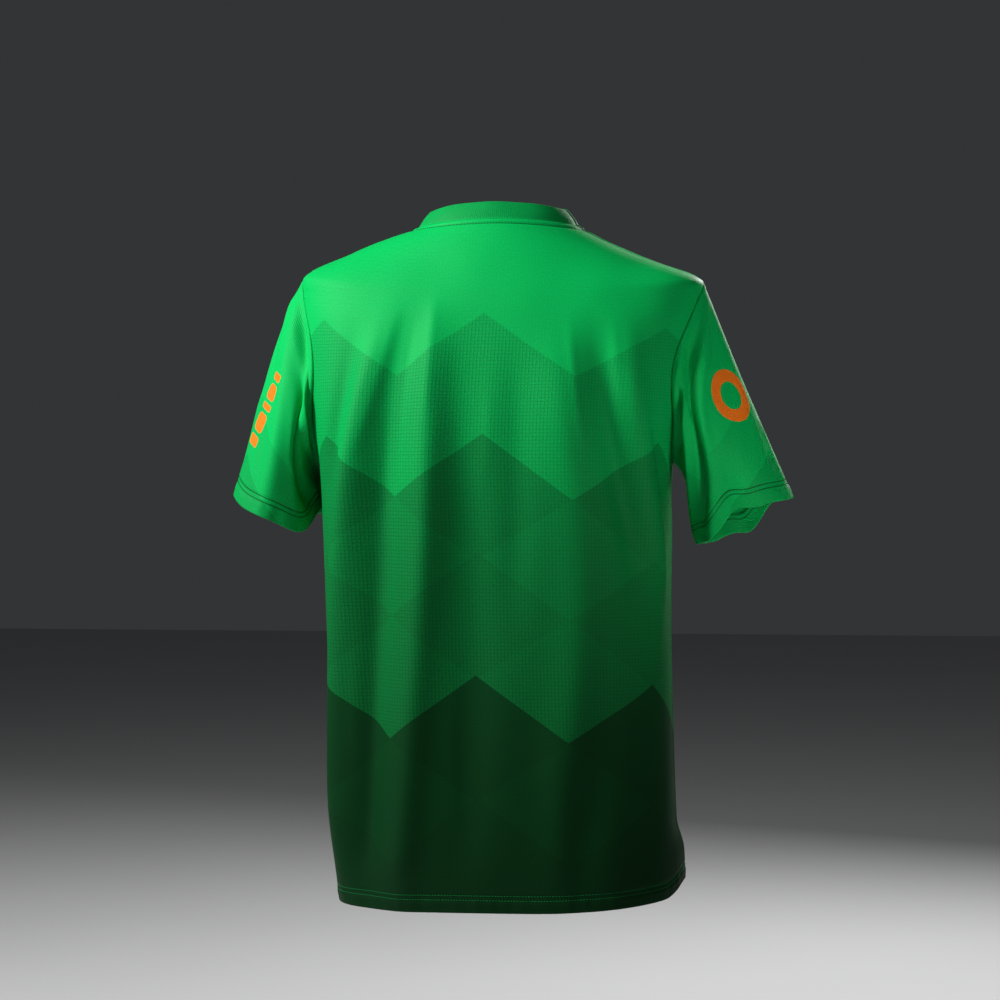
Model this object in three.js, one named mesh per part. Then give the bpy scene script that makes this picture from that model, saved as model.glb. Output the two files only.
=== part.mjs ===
// A short-sleeved football jersey of light knit, in the hollow form it takes when it is worn.
// Millimetres. +Z is up, the front faces -Y and the wearer's left arm is on +X.
// The origin is the middle of the neck opening, level with the inner ends of the shoulder seams.
//
// The torso is a stack of level sections, each a rounded oval. The two panels are the back and front
// halves of it, cut out round the arms. Each sleeve runs from that armhole to its cuff, and the collar
// band stands on the neckline. Every piece is a thin closed wall, cut apart from the next at its seam.

import * as THREE from "three";

// Driving sizes
const CLOTH = 1.5;
const FOLDED_CLOTH = 2.4;
const HEM_FOLD = 20;
const CUFF_FOLD = 20;
const FOLD_EDGE = 1.5;
const SEAM_GAP = 0.3;
const ARMHOLE_DEPTH = 70;
const ARMHOLE_ROUNDNESS = 0.6;
const BITE_SPREAD = 1.4;
const COLLAR_CLOTH = 2.2;
const COLLAR_WIDTH = 22.6;
const COLLAR_BELLY = 1.2;
const COLLAR_UPRIGHT = { back: 0.9, side: 0.8, front: 0.6 };

// How finely each piece is divided
const PANEL_COLUMNS = 30;
const BODY_ROWS = 15;
const ARMHOLE_ROWS = 14;
const SHOULDER_ROWS = 5;
const SLEEVE_ROWS = 13;
const COLLAR_ROWS = 4;

// The torso's sections from the hem up, one row each. UP is measured along the cloth at the centre back.
// BACK_Z, SIDE_Z and FRONT_Z are the section's heights, HALF its half width, BACK_DEEP and FRONT_DEEP its
// depths from the middle, SQUARE how boxy the oval is, SHIFT how far its middle leans to +X, DIP how much
// its corners sag, SCOOP how round its front dips, and RIGHT_DROP how much lower the shoulder on -X lies.
const [UP, BACK_Z, SIDE_Z, FRONT_Z, HALF, BACK_DEEP, FRONT_DEEP, SQUARE, SHIFT, DIP, SCOOP, RIGHT_DROP] = [
  0, 1, 2, 3, 4, 5, 6, 7, 8, 9, 10, 11,
];
const LEVELS = [
  [0, -730, -731, -730, 189, 121, 111, 2.3, -9, 0, 0, -9],
  [150, -579, -580, -579, 191, 121, 111, 2.35, -4, 0, 0, -4],
  [300, -429, -429, -429, 193, 122, 113, 2.4, 1, 0, 0, 0],
  [400, -329, -329, -329, 194, 125, 117, 2.45, 3, 0, 0, 0],
  [474, -255, -255, -255, 196, 128, 121, 2.55, 3, 0, 0, 0],
  [530, -199, -200, -212, 204, 127, 121, 2.7, 2, 0, 0.05, 2],
  [585, -146, -148, -174, 210, 120, 117, 2.8, 0, -2, 0.2, 5],
  [635, -98, -98, -142, 217, 108, 110, 2.7, -2, -5, 0.4, 8],
  [660, -75, -68, -126, 221, 100, 104, 2.45, -3, -7, 0.5, 9],
  [675, -61, -48, -117, 219, 94, 100, 2.3, -3, -8, 0.55, 10],
  [700, -37, -26, -107, 176, 83, 95, 2.15, -2, -5, 0.6, 12],
  [722, -15, -10, -100, 130, 72, 91, 2.1, 0, -2, 0.65, 9],
  [742, 6, 2, -93, 88, 60, 87, 2.05, 1, 0, 0.7, 0],
];
const UNDERARM_UP = 474;
const SHOULDER_UP = 675;
const NECK_UP = 742;

// Long soft folds of the two panels. from and to are the levels they start and fade at, fromX and toX
// their distances along the cloth from the centre line there, wide their width and high their height.
// A trough has a height below zero.
const BACK_FOLDS = [
  { from: 640, to: 10, fromX: 96, toX: 158, wide: 46, high: 6.5 },
  { from: 625, to: 30, fromX: 82, toX: 118, wide: 34, high: -4.5 },
  { from: 650, to: 0, fromX: 55, toX: 82, wide: 48, high: 6.5 },
  { from: 600, to: 20, fromX: 22, toX: 34, wide: 44, high: -4 },
  { from: 610, to: 160, fromX: -6, toX: -2, wide: 40, high: 2.5 },
  { from: 560, to: 60, fromX: -48, toX: -46, wide: 46, high: -2.5 },
  { from: 610, to: 0, fromX: -88, toX: -112, wide: 60, high: 5.5 },
  { from: 620, to: 120, fromX: -124, toX: -150, wide: 36, high: -4.5 },
  { from: 640, to: 40, fromX: -150, toX: -196, wide: 44, high: 5.5 },
  { from: 470, to: 0, fromX: 205, toX: 214, wide: 44, high: -3.5 },
];
const FRONT_FOLDS = [
  { from: 600, to: 20, fromX: 118, toX: 150, wide: 52, high: 5.5 },
  { from: 560, to: 60, fromX: 84, toX: 104, wide: 40, high: -4 },
  { from: 585, to: 0, fromX: 52, toX: 66, wide: 50, high: 5 },
  { from: 500, to: 40, fromX: 12, toX: 18, wide: 50, high: -3.5 },
  { from: 570, to: 0, fromX: -40, toX: -48, wide: 56, high: 5.5 },
  { from: 540, to: 90, fromX: -80, toX: -92, wide: 40, high: -4 },
  { from: 610, to: 30, fromX: -116, toX: -158, wide: 50, high: 6 },
  { from: 450, to: 0, fromX: -196, toX: -206, wide: 46, high: -3 },
];

// Cuffs. x, y and z are the middle of the opening, tilt how far its outer side is raised in degrees,
// wide and deep its half sizes. out is the share of the sleeve's first run that goes outwards over the
// shoulder; over and under are how far from plumb it ends, on top and under the arm.
const LEFT_CUFF = {
  side: 1, x: 249, y: -2, z: -319, tilt: 31, wide: 59, deep: 55, out: 0.56, over: 19, under: 8,
};
const RIGHT_CUFF = {
  side: -1, x: -271, y: -2, z: -321, tilt: 29, wide: 57, deep: 55, out: 0.35, over: 24, under: 24,
};

// Where the edge of a cuff is lifted off its plane: the turn round the sleeve, how wide and how high.
const LEFT_CUFF_LIFTS = [
  { turn: 0.2, wide: 0.1, lift: -5 },
  { turn: 0.5, wide: 0.1, lift: 30 },
  { turn: 0.8, wide: 0.12, lift: 6 },
];
const RIGHT_CUFF_LIFTS = [
  { turn: 0.2, wide: 0.09, lift: 12 },
  { turn: 0.66, wide: 0.09, lift: -5 },
  { turn: 0.84, wide: 0.08, lift: 10 },
];

// How a sleeve leaves its armhole over the shoulder, beside it and under the arm: how far the run is,
// and the shares of it that go out and down.
const SLEEVE_RUN = { over: 235, beside: 190, under: 80 };
const SLEEVE_OUT = { beside: 0.34, under: 0.75 };
const SLEEVE_DOWN = { over: 0.93, beside: 0.85, under: 0.4 };

// Folds of the sleeves. turn runs from 0 at the shoulder over the back, 0.5 under the arm, to 1 again.
// start and end are the shares of the sleeve's length, wide and high are in millimetres.
const LEFT_SLEEVE_FOLDS = [
  { start: 0.02, end: 1.0, fromTurn: 0.13, toTurn: 0.27, wide: 26, high: -9 },
  { start: 0.04, end: 0.9, fromTurn: 0.19, toTurn: 0.36, wide: 20, high: 7 },
  { start: 0.1, end: 0.7, fromTurn: 0.28, toTurn: 0.42, wide: 24, high: -8 },
  { start: 0.1, end: 0.6, fromTurn: 0.0, toTurn: 0.0, wide: 40, high: -4 },
  { start: 0.05, end: 0.9, fromTurn: 0.82, toTurn: 0.7, wide: 30, high: -7 },
  { start: 0.1, end: 1.0, fromTurn: 0.75, toTurn: 0.62, wide: 26, high: 6 },
];
const RIGHT_SLEEVE_FOLDS = [
  { start: 0.02, end: 1.0, fromTurn: 0.14, toTurn: 0.31, wide: 24, high: -9 },
  { start: 0.03, end: 1.0, fromTurn: 0.2, toTurn: 0.38, wide: 20, high: 8 },
  { start: 0.06, end: 0.7, fromTurn: 0.29, toTurn: 0.45, wide: 24, high: -8 },
  { start: 0.05, end: 0.85, fromTurn: 0.84, toTurn: 0.72, wide: 30, high: -7 },
  { start: 0.1, end: 1.0, fromTurn: 0.76, toTurn: 0.64, wide: 26, high: 6 },
];

const BACK = 1;
const FRONT = -1;
const DEGREE = Math.PI / 180;
const TURN = 2 * Math.PI;
const SLEEVE_SPREAD = 0.22;
const ARM_ROUND = 420;
const CUFF_ROUND = 345;
const OVAL_STEPS = 240;
const FOLD_SHARPNESS = 1.4;
const FOLD_START = 130;
const FOLD_END = 90;
const FOLD_FADE = 150;
const SLEEVE_FOLD_START = 0.2;
const SLEEVE_FOLD_FADE = 0.3;
const SEAM_CALM = 12;
const NECK_CALM = 60;
const UP_STEP = 0.5;
const SHARE_STEP = 0.002;
const ALONG_STEP = 0.01;
const SEAM_MATCH = 500;
const SHARPEST_MITRE = 0.7;
const SHARPEST_CORNER = 0.6;

const mix = (a, b, t) => a + (b - a) * t;
const clamp = (v, low, high) => Math.min(high, Math.max(low, v));
const ease = (t) => {
  const c = clamp(t, 0, 1);
  return c * c * (3 - 2 * c);
};

// A smooth curve through one column of the section table.
function levelValue(column, up) {
  const last = LEVELS.length - 1;
  let i = 0;
  while (i < last - 1 && up > LEVELS[i + 1][UP]) i++;
  const slope = (k) => {
    const low = LEVELS[Math.max(k - 1, 0)];
    const high = LEVELS[Math.min(k + 1, last)];
    return (high[column] - low[column]) / (high[UP] - low[UP]);
  };
  const here = LEVELS[i];
  const next = LEVELS[i + 1];
  const span = next[UP] - here[UP];
  const t = (up - here[UP]) / span;
  const t2 = t * t;
  const t3 = t2 * t;
  return (
    (2 * t3 - 3 * t2 + 1) * here[column] +
    (t3 - 2 * t2 + t) * span * slope(i) +
    (3 * t2 - 2 * t3) * next[column] +
    (t3 - t2) * span * slope(i + 1)
  );
}

// A quarter of an oval section, from its centre line to its side, as evenly measured points.
const quarterCache = new Map();
function quarterOval(face, up) {
  const key = face + ":" + up;
  if (quarterCache.has(key)) return quarterCache.get(key);
  const half = levelValue(HALF, up);
  const deep = levelValue(face === BACK ? BACK_DEEP : FRONT_DEEP, up);
  const square = levelValue(SQUARE, up);
  const points = [];
  const lengths = [0];
  for (let k = 0; k <= OVAL_STEPS; k++) {
    const angle = (k / OVAL_STEPS) * (Math.PI / 2);
    const c = Math.abs(Math.sin(angle)) / half;
    const s = Math.abs(Math.cos(angle)) / deep;
    const radius = (c ** square + s ** square) ** (-1 / square);
    points.push([radius * Math.sin(angle), radius * Math.cos(angle)]);
    if (k > 0) {
      const [x0, y0] = points[k - 1];
      const [x1, y1] = points[k];
      lengths.push(lengths[k - 1] + Math.hypot(x1 - x0, y1 - y0));
    }
  }
  const made = { points, lengths, total: lengths[OVAL_STEPS] };
  quarterCache.set(key, made);
  return made;
}

// The torso before its folds. across runs from -1 to 1, side to side of one face, by length of cloth.
function torsoForm(face, across, up) {
  const quarter = quarterOval(face, up);
  const share = Math.min(Math.abs(across), 1);
  const wanted = share * quarter.total;
  let low = 0;
  let high = OVAL_STEPS;
  while (high - low > 1) {
    const middle = (low + high) >> 1;
    if (quarter.lengths[middle] > wanted) high = middle;
    else low = middle;
  }
  const t = (wanted - quarter.lengths[low]) / (quarter.lengths[high] - quarter.lengths[low]);
  const x = mix(quarter.points[low][0], quarter.points[high][0], t);
  const y = mix(quarter.points[low][1], quarter.points[high][1], t);
  const centreZ = levelValue(face === BACK ? BACK_Z : FRONT_Z, up);
  const drop = across < 0 ? levelValue(RIGHT_DROP, up) : 0;
  const sideZ = levelValue(SIDE_Z, up) - drop;
  const even = (1 - Math.cos(Math.PI * share)) / 2;
  const round = 1 - Math.cos((Math.PI / 2) * share);
  const toSide = face === BACK ? even : mix(even, round, levelValue(SCOOP, up));
  const sag = levelValue(DIP, up) * Math.sin(Math.PI * share) ** 2;
  return new THREE.Vector3(
    levelValue(SHIFT, up) + Math.sign(across) * x,
    face * y,
    mix(centreZ, sideZ, toSide) + sag,
  );
}

// A fold's height across its width, as a share: 1 on its line, and near 0 past its sides.
const foldShape = (offset) => Math.exp(-FOLD_SHARPNESS * offset * offset);

// How far the long folds push the cloth out at a point of a panel.
function panelFold(folds, cloth, up) {
  let height = 0;
  for (const fold of folds) {
    const run = (fold.from - up) / (fold.from - fold.to);
    const swell = ease((fold.from - up) / FOLD_START) * ease((up - fold.to + FOLD_END) / FOLD_FADE);
    const centre = mix(fold.fromX, fold.toX, clamp(run, 0, 1));
    height += fold.high * swell * foldShape((2 * (cloth - centre)) / fold.wide);
  }
  return height;
}

function unit(v) {
  return v.normalize();
}

// The cloth of a panel: the torso's form, moved out along its normal by the folds.
function panelPoint(face, across, up) {
  const inside = clamp(across, -1 + SHARE_STEP, 1 - SHARE_STEP);
  const level = clamp(up, UP_STEP, NECK_UP - UP_STEP);
  const leftmost = torsoForm(face, inside - SHARE_STEP, level);
  const sideways = torsoForm(face, inside + SHARE_STEP, level).sub(leftmost);
  const lowest = torsoForm(face, inside, level - UP_STEP);
  const upwards = torsoForm(face, inside, level + UP_STEP).sub(lowest);
  const normal = unit(upwards.cross(sideways)).multiplyScalar(face);
  const cloth = across * quarterOval(face, up).total;
  const folds = face === BACK ? BACK_FOLDS : FRONT_FOLDS;
  const calm = ease((1 - Math.abs(across)) * SEAM_CALM) * ease((NECK_UP - up) / NECK_CALM);
  return torsoForm(face, across, up).addScaledVector(normal, panelFold(folds, cloth, up) * calm);
}

// Where the armhole cuts a section, as a share of the cloth from the centre line to the side.
function panelEdge(face, up) {
  const along = (up - UNDERARM_UP) / (SHOULDER_UP - UNDERARM_UP);
  if (along <= 0 || along >= 1) return 1;
  const bite = ARMHOLE_DEPTH * Math.sin(Math.PI * along) ** ARMHOLE_ROUNDNESS;
  return 1 - bite / quarterOval(face, up).total;
}

// The level of the armhole at a share of the way down from the shoulder.
function armholeUp(share) {
  return SHOULDER_UP - ((SHOULDER_UP - UNDERARM_UP) * (1 - Math.cos(Math.PI * share))) / 2;
}

function panelRows() {
  const rows = [0, HEM_FOLD];
  for (let j = 0; j < BODY_ROWS; j++) rows.push(mix(HEM_FOLD + FOLD_EDGE, UNDERARM_UP, j / BODY_ROWS));
  for (let j = 0; j <= ARMHOLE_ROWS; j++) rows.push(armholeUp(1 - j / ARMHOLE_ROWS));
  for (let j = 1; j <= SHOULDER_ROWS; j++) rows.push(mix(SHOULDER_UP, NECK_UP, j / SHOULDER_ROWS));
  return rows;
}

// A value that changes round a sleeve, given over the shoulder, at its back and front, and under the arm.
function roundSleeve({ over, beside, under }, turn) {
  const c = Math.cos(turn * TURN);
  return beside + ((over - under) / 2) * c + ((over + under) / 2 - beside) * c * c;
}

function cuffLift(lifts, turn) {
  let height = 0;
  for (const part of lifts) {
    const away = (turn - part.turn - Math.round(turn - part.turn)) / part.wide;
    height += part.lift * Math.exp(-away * away);
  }
  return height;
}

function armholePoint(side, turn) {
  const share = turn <= 0.5 ? turn * 2 : 2 - turn * 2;
  const up = armholeUp(share);
  const face = turn <= 0.5 ? BACK : FRONT;
  return panelPoint(face, side * panelEdge(face, up), up);
}

// The sleeve before its folds: a smooth run from the armhole to the cuff.
function sleeveForm({ cuff, lifts }, turn, along) {
  const angle = turn * TURN;
  const tilt = cuff.tilt * DEGREE;
  const swing = mix(cuff.under, cuff.over, (1 + Math.cos(angle)) / 2) * DEGREE;
  const end = new THREE.Vector3(
    cuff.x + cuff.side * Math.cos(tilt) * cuff.wide * Math.cos(angle),
    cuff.y + cuff.deep * Math.sin(angle),
    cuff.z + Math.sin(tilt) * cuff.wide * Math.cos(angle) + cuffLift(lifts, turn),
  );
  const run = roundSleeve(SLEEVE_RUN, turn);
  const leave = new THREE.Vector3(
    cuff.side * roundSleeve({ over: cuff.out, ...SLEEVE_OUT }, turn),
    SLEEVE_SPREAD * Math.sin(angle),
    -roundSleeve(SLEEVE_DOWN, turn),
  ).multiplyScalar(run);
  const arrive = new THREE.Vector3(cuff.side * Math.sin(swing), 0, -Math.cos(swing)).multiplyScalar(run);
  const t2 = along * along;
  const t3 = t2 * along;
  return armholePoint(cuff.side, turn)
    .multiplyScalar(2 * t3 - 3 * t2 + 1)
    .addScaledVector(leave, t3 - 2 * t2 + along)
    .addScaledVector(end, 3 * t2 - 2 * t3)
    .addScaledVector(arrive, t3 - t2);
}

function sleeveFold(folds, round, turn, along) {
  let height = 0;
  for (const fold of folds) {
    const run = clamp((along - fold.start) / (fold.end - fold.start), 0, 1);
    const fade = fold.end < 1 ? ease((fold.end - along) / SLEEVE_FOLD_FADE) : 1;
    const swell = ease((along - fold.start) / SLEEVE_FOLD_START) * fade;
    const centre = mix(fold.fromTurn, fold.toTurn, run);
    const away = turn - centre - Math.round(turn - centre);
    height += fold.high * swell * foldShape((2 * away * round) / fold.wide);
  }
  return height;
}

function sleevePoint(sleeve, turn, along) {
  const level = clamp(along, ALONG_STEP, 1 - ALONG_STEP);
  const before = sleeveForm(sleeve, turn - SHARE_STEP, level);
  const sideways = sleeveForm(sleeve, turn + SHARE_STEP, level).sub(before);
  const above = sleeveForm(sleeve, turn, level - ALONG_STEP);
  const downwards = sleeveForm(sleeve, turn, level + ALONG_STEP).sub(above);
  const normal = unit(downwards.cross(sideways)).multiplyScalar(sleeve.cuff.side);
  const height = sleeveFold(sleeve.folds, mix(ARM_ROUND, CUFF_ROUND, along), turn, along);
  return sleeveForm(sleeve, turn, along).addScaledVector(normal, height);
}

// How far along the sleeve a row of its grid lies. The last two rows hold the turned-up cuff.
function sleeveAlong(row, turn) {
  if (row === SLEEVE_ROWS) return 1;
  const run = roundSleeve(SLEEVE_RUN, turn);
  if (row === SLEEVE_ROWS - 1) return 1 - CUFF_FOLD / run;
  return ((1 - (CUFF_FOLD + FOLD_EDGE) / run) * row) / (SLEEVE_ROWS - 2);
}

// The collar band leans in from the neckline, more at the front than at the back.
function collarPoint(face, across, rise) {
  const foot = panelPoint(face, across, NECK_UP);
  const toSide = (1 - Math.cos(Math.PI * Math.abs(across))) / 2;
  const centre = face === BACK ? COLLAR_UPRIGHT.back : COLLAR_UPRIGHT.front;
  const upright = mix(centre, COLLAR_UPRIGHT.side, toSide);
  const inward = new THREE.Vector3(-foot.x, -foot.y, 0);
  unit(inward).multiplyScalar(Math.sqrt(1 - upright * upright));
  const lean = inward.add(new THREE.Vector3(0, 0, upright)).multiplyScalar(COLLAR_WIDTH * rise);
  const belly = COLLAR_BELLY * Math.sin(Math.PI * rise);
  return foot.add(lean).add(new THREE.Vector3(foot.x, foot.y, 0).setLength(belly));
}

// A sheet is a grid of outer points, columns across and rows along, with the cloth's thickness in each row.
// A round one closes on itself.
function makeSheet(name, columns, rows, round, flip, thickness, pointAt) {
  const points = [];
  for (let i = 0; i < columns; i++) {
    points.push([]);
    for (let j = 0; j < rows; j++) points[i].push(pointAt(i, j));
  }
  return { name, columns, rows, round, flip, thickness, points };
}

function neighbour(sheet, i, j, di, dj) {
  let k = i + di;
  if (sheet.round) k = (k + sheet.columns) % sheet.columns;
  const l = j + dj;
  if (k < 0 || k >= sheet.columns || l < 0 || l >= sheet.rows) return null;
  return sheet.points[k][l];
}

function sheetNormal(sheet, i, j) {
  const here = sheet.points[i][j];
  const left = neighbour(sheet, i, j, -1, 0) ?? here;
  const right = neighbour(sheet, i, j, 1, 0) ?? here;
  const below = neighbour(sheet, i, j, 0, -1) ?? here;
  const above = neighbour(sheet, i, j, 0, 1) ?? here;
  const normal = right.clone().sub(left).cross(above.clone().sub(below));
  return unit(normal).multiplyScalar(sheet.flip ? -1 : 1);
}

// The edge of a sheet runs on from an edge point to the next. Each such step is given with a point
// further in, on the cloth's side of it.
function edgeSteps(sheet, i, j) {
  const steps = [];
  const look = (outward, forwards) => {
    if (neighbour(sheet, i, j, ...outward)) return;
    const inner = neighbour(sheet, i, j, -outward[0], -outward[1]);
    for (const [di, dj] of forwards) {
      const next = neighbour(sheet, i, j, di, dj);
      if (next) steps.push({ next, inner });
    }
  };
  const alongRows = [[0, -1], [0, 1]];
  const alongColumns = [[-1, 0], [1, 0]];
  look([-1, 0], alongRows);
  look([1, 0], alongRows);
  look([0, -1], alongColumns);
  look([0, 1], alongColumns);
  return steps;
}

function seamKey(p) {
  return p.toArray().map((v) => Math.round(v * SEAM_MATCH)).join(" ");
}

// The way that an edge point is drawn back from its seams, level with the cloth there.
function drawBack(sheet, i, j, mitre, isSeam) {
  const here = sheet.points[i][j];
  const flatten = (v, axis) => unit(v.addScaledVector(axis, -v.dot(axis)));
  const ways = [];
  for (const { next, inner } of edgeSteps(sheet, i, j)) {
    if (!isSeam(next)) continue;
    const along = flatten(next.clone().sub(here), mitre);
    const within = flatten(inner.clone().sub(here), mitre);
    ways.push(flatten(within, along));
  }
  if (ways.length === 1) return ways[0];
  const agree = Math.max(1 + ways[0].dot(ways[1]), SHARPEST_CORNER);
  return ways[0].clone().add(ways[1]).divideScalar(agree);
}

// Gives every sheet its inner points. Where sheets meet at a seam they share one mitre, and each is
// drawn back by half of the seam's gap.
function finishSheets(sheets) {
  const seams = new Map();
  for (const sheet of sheets) {
    sheet.normals = sheet.points.map((column, i) => column.map((p, j) => sheetNormal(sheet, i, j)));
    sheet.outer = sheet.points.map((column) => column.map((p) => p.clone()));
    sheet.inner = sheet.points.map((column, i) =>
      column.map((p, j) => p.clone().addScaledVector(sheet.normals[i][j], -sheet.thickness(j))),
    );
    sheet.points.forEach((column, i) =>
      column.forEach((p, j) => {
        if (!edgeSteps(sheet, i, j).length) return;
        const key = seamKey(p);
        if (!seams.has(key)) seams.set(key, []);
        seams.get(key).push({ sheet, i, j });
      }),
    );
  }
  const sheetsAt = (p) => new Set((seams.get(seamKey(p)) ?? []).map((m) => m.sheet));
  const isSeam = (p) => sheetsAt(p).size > 1;
  for (const meeting of seams.values()) {
    if (!isSeam(meeting[0].sheet.points[meeting[0].i][meeting[0].j])) continue;
    const body = new THREE.Vector3();
    const mitre = new THREE.Vector3();
    for (const { sheet, i, j } of meeting) (sheet.round ? mitre : body).add(sheet.normals[i][j]);
    if (body.lengthSq() > 0) mitre.add(unit(body));
    unit(mitre);
    const thin = Math.min(...meeting.map(({ sheet, j }) => sheet.thickness(j)));
    for (const { sheet, i, j } of meeting) {
      const back = drawBack(sheet, i, j, mitre, isSeam);
      const drawn = sheet.points[i][j].clone().addScaledVector(back, SEAM_GAP / 2);
      const reach = thin / Math.max(mitre.dot(sheet.normals[i][j]), SHARPEST_MITRE);
      sheet.outer[i][j] = drawn;
      sheet.inner[i][j] = drawn.clone().addScaledVector(mitre, -reach);
    }
  }
}

// The closed wall between a sheet's outer and inner points.
function sheetGeometry(sheet) {
  const { columns, rows, round } = sheet;
  const positions = [];
  for (const side of [sheet.outer, sheet.inner])
    for (const column of side) for (const point of column) positions.push(...point.toArray());
  const inside = columns * rows;
  const at = (i, j) => (i % columns) * rows + j;
  const faces = [];
  const quad = (a, b, c, d) => faces.push(a, b, c, a, c, d);
  const wide = round ? columns : columns - 1;
  for (let i = 0; i < wide; i++)
    for (let j = 0; j < rows - 1; j++) {
      quad(at(i, j), at(i + 1, j), at(i + 1, j + 1), at(i, j + 1));
      quad(inside + at(i, j), inside + at(i, j + 1), inside + at(i + 1, j + 1), inside + at(i + 1, j));
    }
  for (let i = 0; i < wide; i++) {
    quad(at(i, 0), inside + at(i, 0), inside + at(i + 1, 0), at(i + 1, 0));
    quad(at(i + 1, rows - 1), inside + at(i + 1, rows - 1), inside + at(i, rows - 1), at(i, rows - 1));
  }
  if (!round)
    for (let j = 0; j < rows - 1; j++) {
      quad(at(0, j + 1), inside + at(0, j + 1), inside + at(0, j), at(0, j));
      const i = columns - 1;
      quad(at(i, j), inside + at(i, j), inside + at(i, j + 1), at(i, j + 1));
    }
  if (sheet.flip) faces.reverse();
  const geometry = new THREE.BufferGeometry();
  geometry.setAttribute("position", new THREE.Float32BufferAttribute(positions, 3));
  geometry.setIndex(faces);
  geometry.computeVertexNormals();
  return geometry;
}

function panelSheet(name, face) {
  const rows = panelRows();
  const thickness = (j) => (rows[j] <= HEM_FOLD ? FOLDED_CLOTH : CLOTH);
  const pointAt = (i, j) => {
    const across = (2 * i) / PANEL_COLUMNS - 1;
    const bite = (1 - panelEdge(face, rows[j])) * Math.abs(across) ** BITE_SPREAD;
    return panelPoint(face, across * (1 - bite), rows[j]);
  };
  return makeSheet(name, PANEL_COLUMNS + 1, rows.length, false, face === BACK, thickness, pointAt);
}

function sleeveSheet(name, sleeve) {
  const columns = 2 * ARMHOLE_ROWS;
  const thickness = (j) => (j >= SLEEVE_ROWS - 1 ? FOLDED_CLOTH : CLOTH);
  const pointAt = (i, j) => sleevePoint(sleeve, i / columns, sleeveAlong(j, i / columns));
  return makeSheet(name, columns, SLEEVE_ROWS + 1, true, sleeve.cuff.side > 0, thickness, pointAt);
}

function collarSheet(name) {
  const columns = 2 * PANEL_COLUMNS;
  const pointAt = (i, j) => {
    const face = i <= PANEL_COLUMNS ? BACK : FRONT;
    const across = face === BACK ? (2 * i) / PANEL_COLUMNS - 1 : 3 - (2 * i) / PANEL_COLUMNS;
    return collarPoint(face, across, j / COLLAR_ROWS);
  };
  return makeSheet(name, columns, COLLAR_ROWS + 1, true, true, () => COLLAR_CLOTH, pointAt);
}

const sheets = [
  panelSheet("back_panel", BACK),
  panelSheet("front_panel", FRONT),
  sleeveSheet("left_sleeve", { cuff: LEFT_CUFF, lifts: LEFT_CUFF_LIFTS, folds: LEFT_SLEEVE_FOLDS }),
  sleeveSheet("right_sleeve", { cuff: RIGHT_CUFF, lifts: RIGHT_CUFF_LIFTS, folds: RIGHT_SLEEVE_FOLDS }),
  collarSheet("collar_band"),
];
finishSheets(sheets);

const COLOURS = {
  back_panel: 0x0a8f3c,
  front_panel: 0x0a8f3c,
  left_sleeve: 0x14b24c,
  right_sleeve: 0x14b24c,
  collar_band: 0x0c9c40,
};

const jersey = new THREE.Group();
for (const sheet of sheets) {
  const color = COLOURS[sheet.name];
  const material = new THREE.MeshStandardMaterial({ color, roughness: 0.6, metalness: 0 });
  const mesh = new THREE.Mesh(sheetGeometry(sheet), material);
  mesh.name = sheet.name;
  jersey.add(mesh);
}

export default jersey;
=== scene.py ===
"""A short-sleeved football jersey of light printed knit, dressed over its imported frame.

The cloth is worked out from the garment's own sizes: a stack of rounded sections for the body, two
sleeves that run from the armholes to their cuffs, and a neck band. Sizes are in millimetres until a
mesh is made. The front faces -Y, +Z is up and the wearer's left arm is on +X.
"""

import logging
import math
from dataclasses import dataclass, field
from enum import Enum
from typing import Callable, NamedTuple

import bpy
import numpy as np
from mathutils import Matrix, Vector


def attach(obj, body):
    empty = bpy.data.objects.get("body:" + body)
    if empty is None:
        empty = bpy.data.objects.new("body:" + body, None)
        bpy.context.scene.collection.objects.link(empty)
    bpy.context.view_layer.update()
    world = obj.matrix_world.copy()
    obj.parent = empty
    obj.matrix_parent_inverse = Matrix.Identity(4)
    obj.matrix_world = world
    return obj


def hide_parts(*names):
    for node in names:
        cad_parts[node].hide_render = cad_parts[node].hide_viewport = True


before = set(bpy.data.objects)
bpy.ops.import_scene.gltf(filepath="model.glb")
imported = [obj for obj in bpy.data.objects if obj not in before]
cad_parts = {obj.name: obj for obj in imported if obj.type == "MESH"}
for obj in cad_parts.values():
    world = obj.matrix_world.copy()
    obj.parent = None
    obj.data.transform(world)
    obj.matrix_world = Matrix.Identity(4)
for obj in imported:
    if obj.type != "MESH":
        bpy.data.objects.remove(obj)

LOG = logging.getLogger("jersey")

MM = 0.001
TURN = 2 * math.pi
ORANGE = (0.9, 0.19, 0.012, 1.0)
SHARE_STEP = 0.003
UP_STEP = 0.6
UNDERARM_UP = 474.0
SHOULDER_UP = 675.0
NECK_UP = 742.0


class Face(Enum):
    """The two halves of the body."""

    BACK = 1
    FRONT = -1


class Section(NamedTuple):
    """One level section of the body.

    up is measured along the cloth at the centre back. The z fields are heights, half is the half width,
    back and front are depths from the middle, square is how boxy the oval is, shift how far its middle
    leans to +X, dip how far its corners sag, scoop how round its front dips and right_drop how much
    lower the shoulder on -X lies.
    """

    up: float
    back_z: float
    side_z: float
    front_z: float
    half: float
    back: float
    front: float
    square: float
    shift: float
    dip: float
    scoop: float
    right_drop: float


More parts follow.
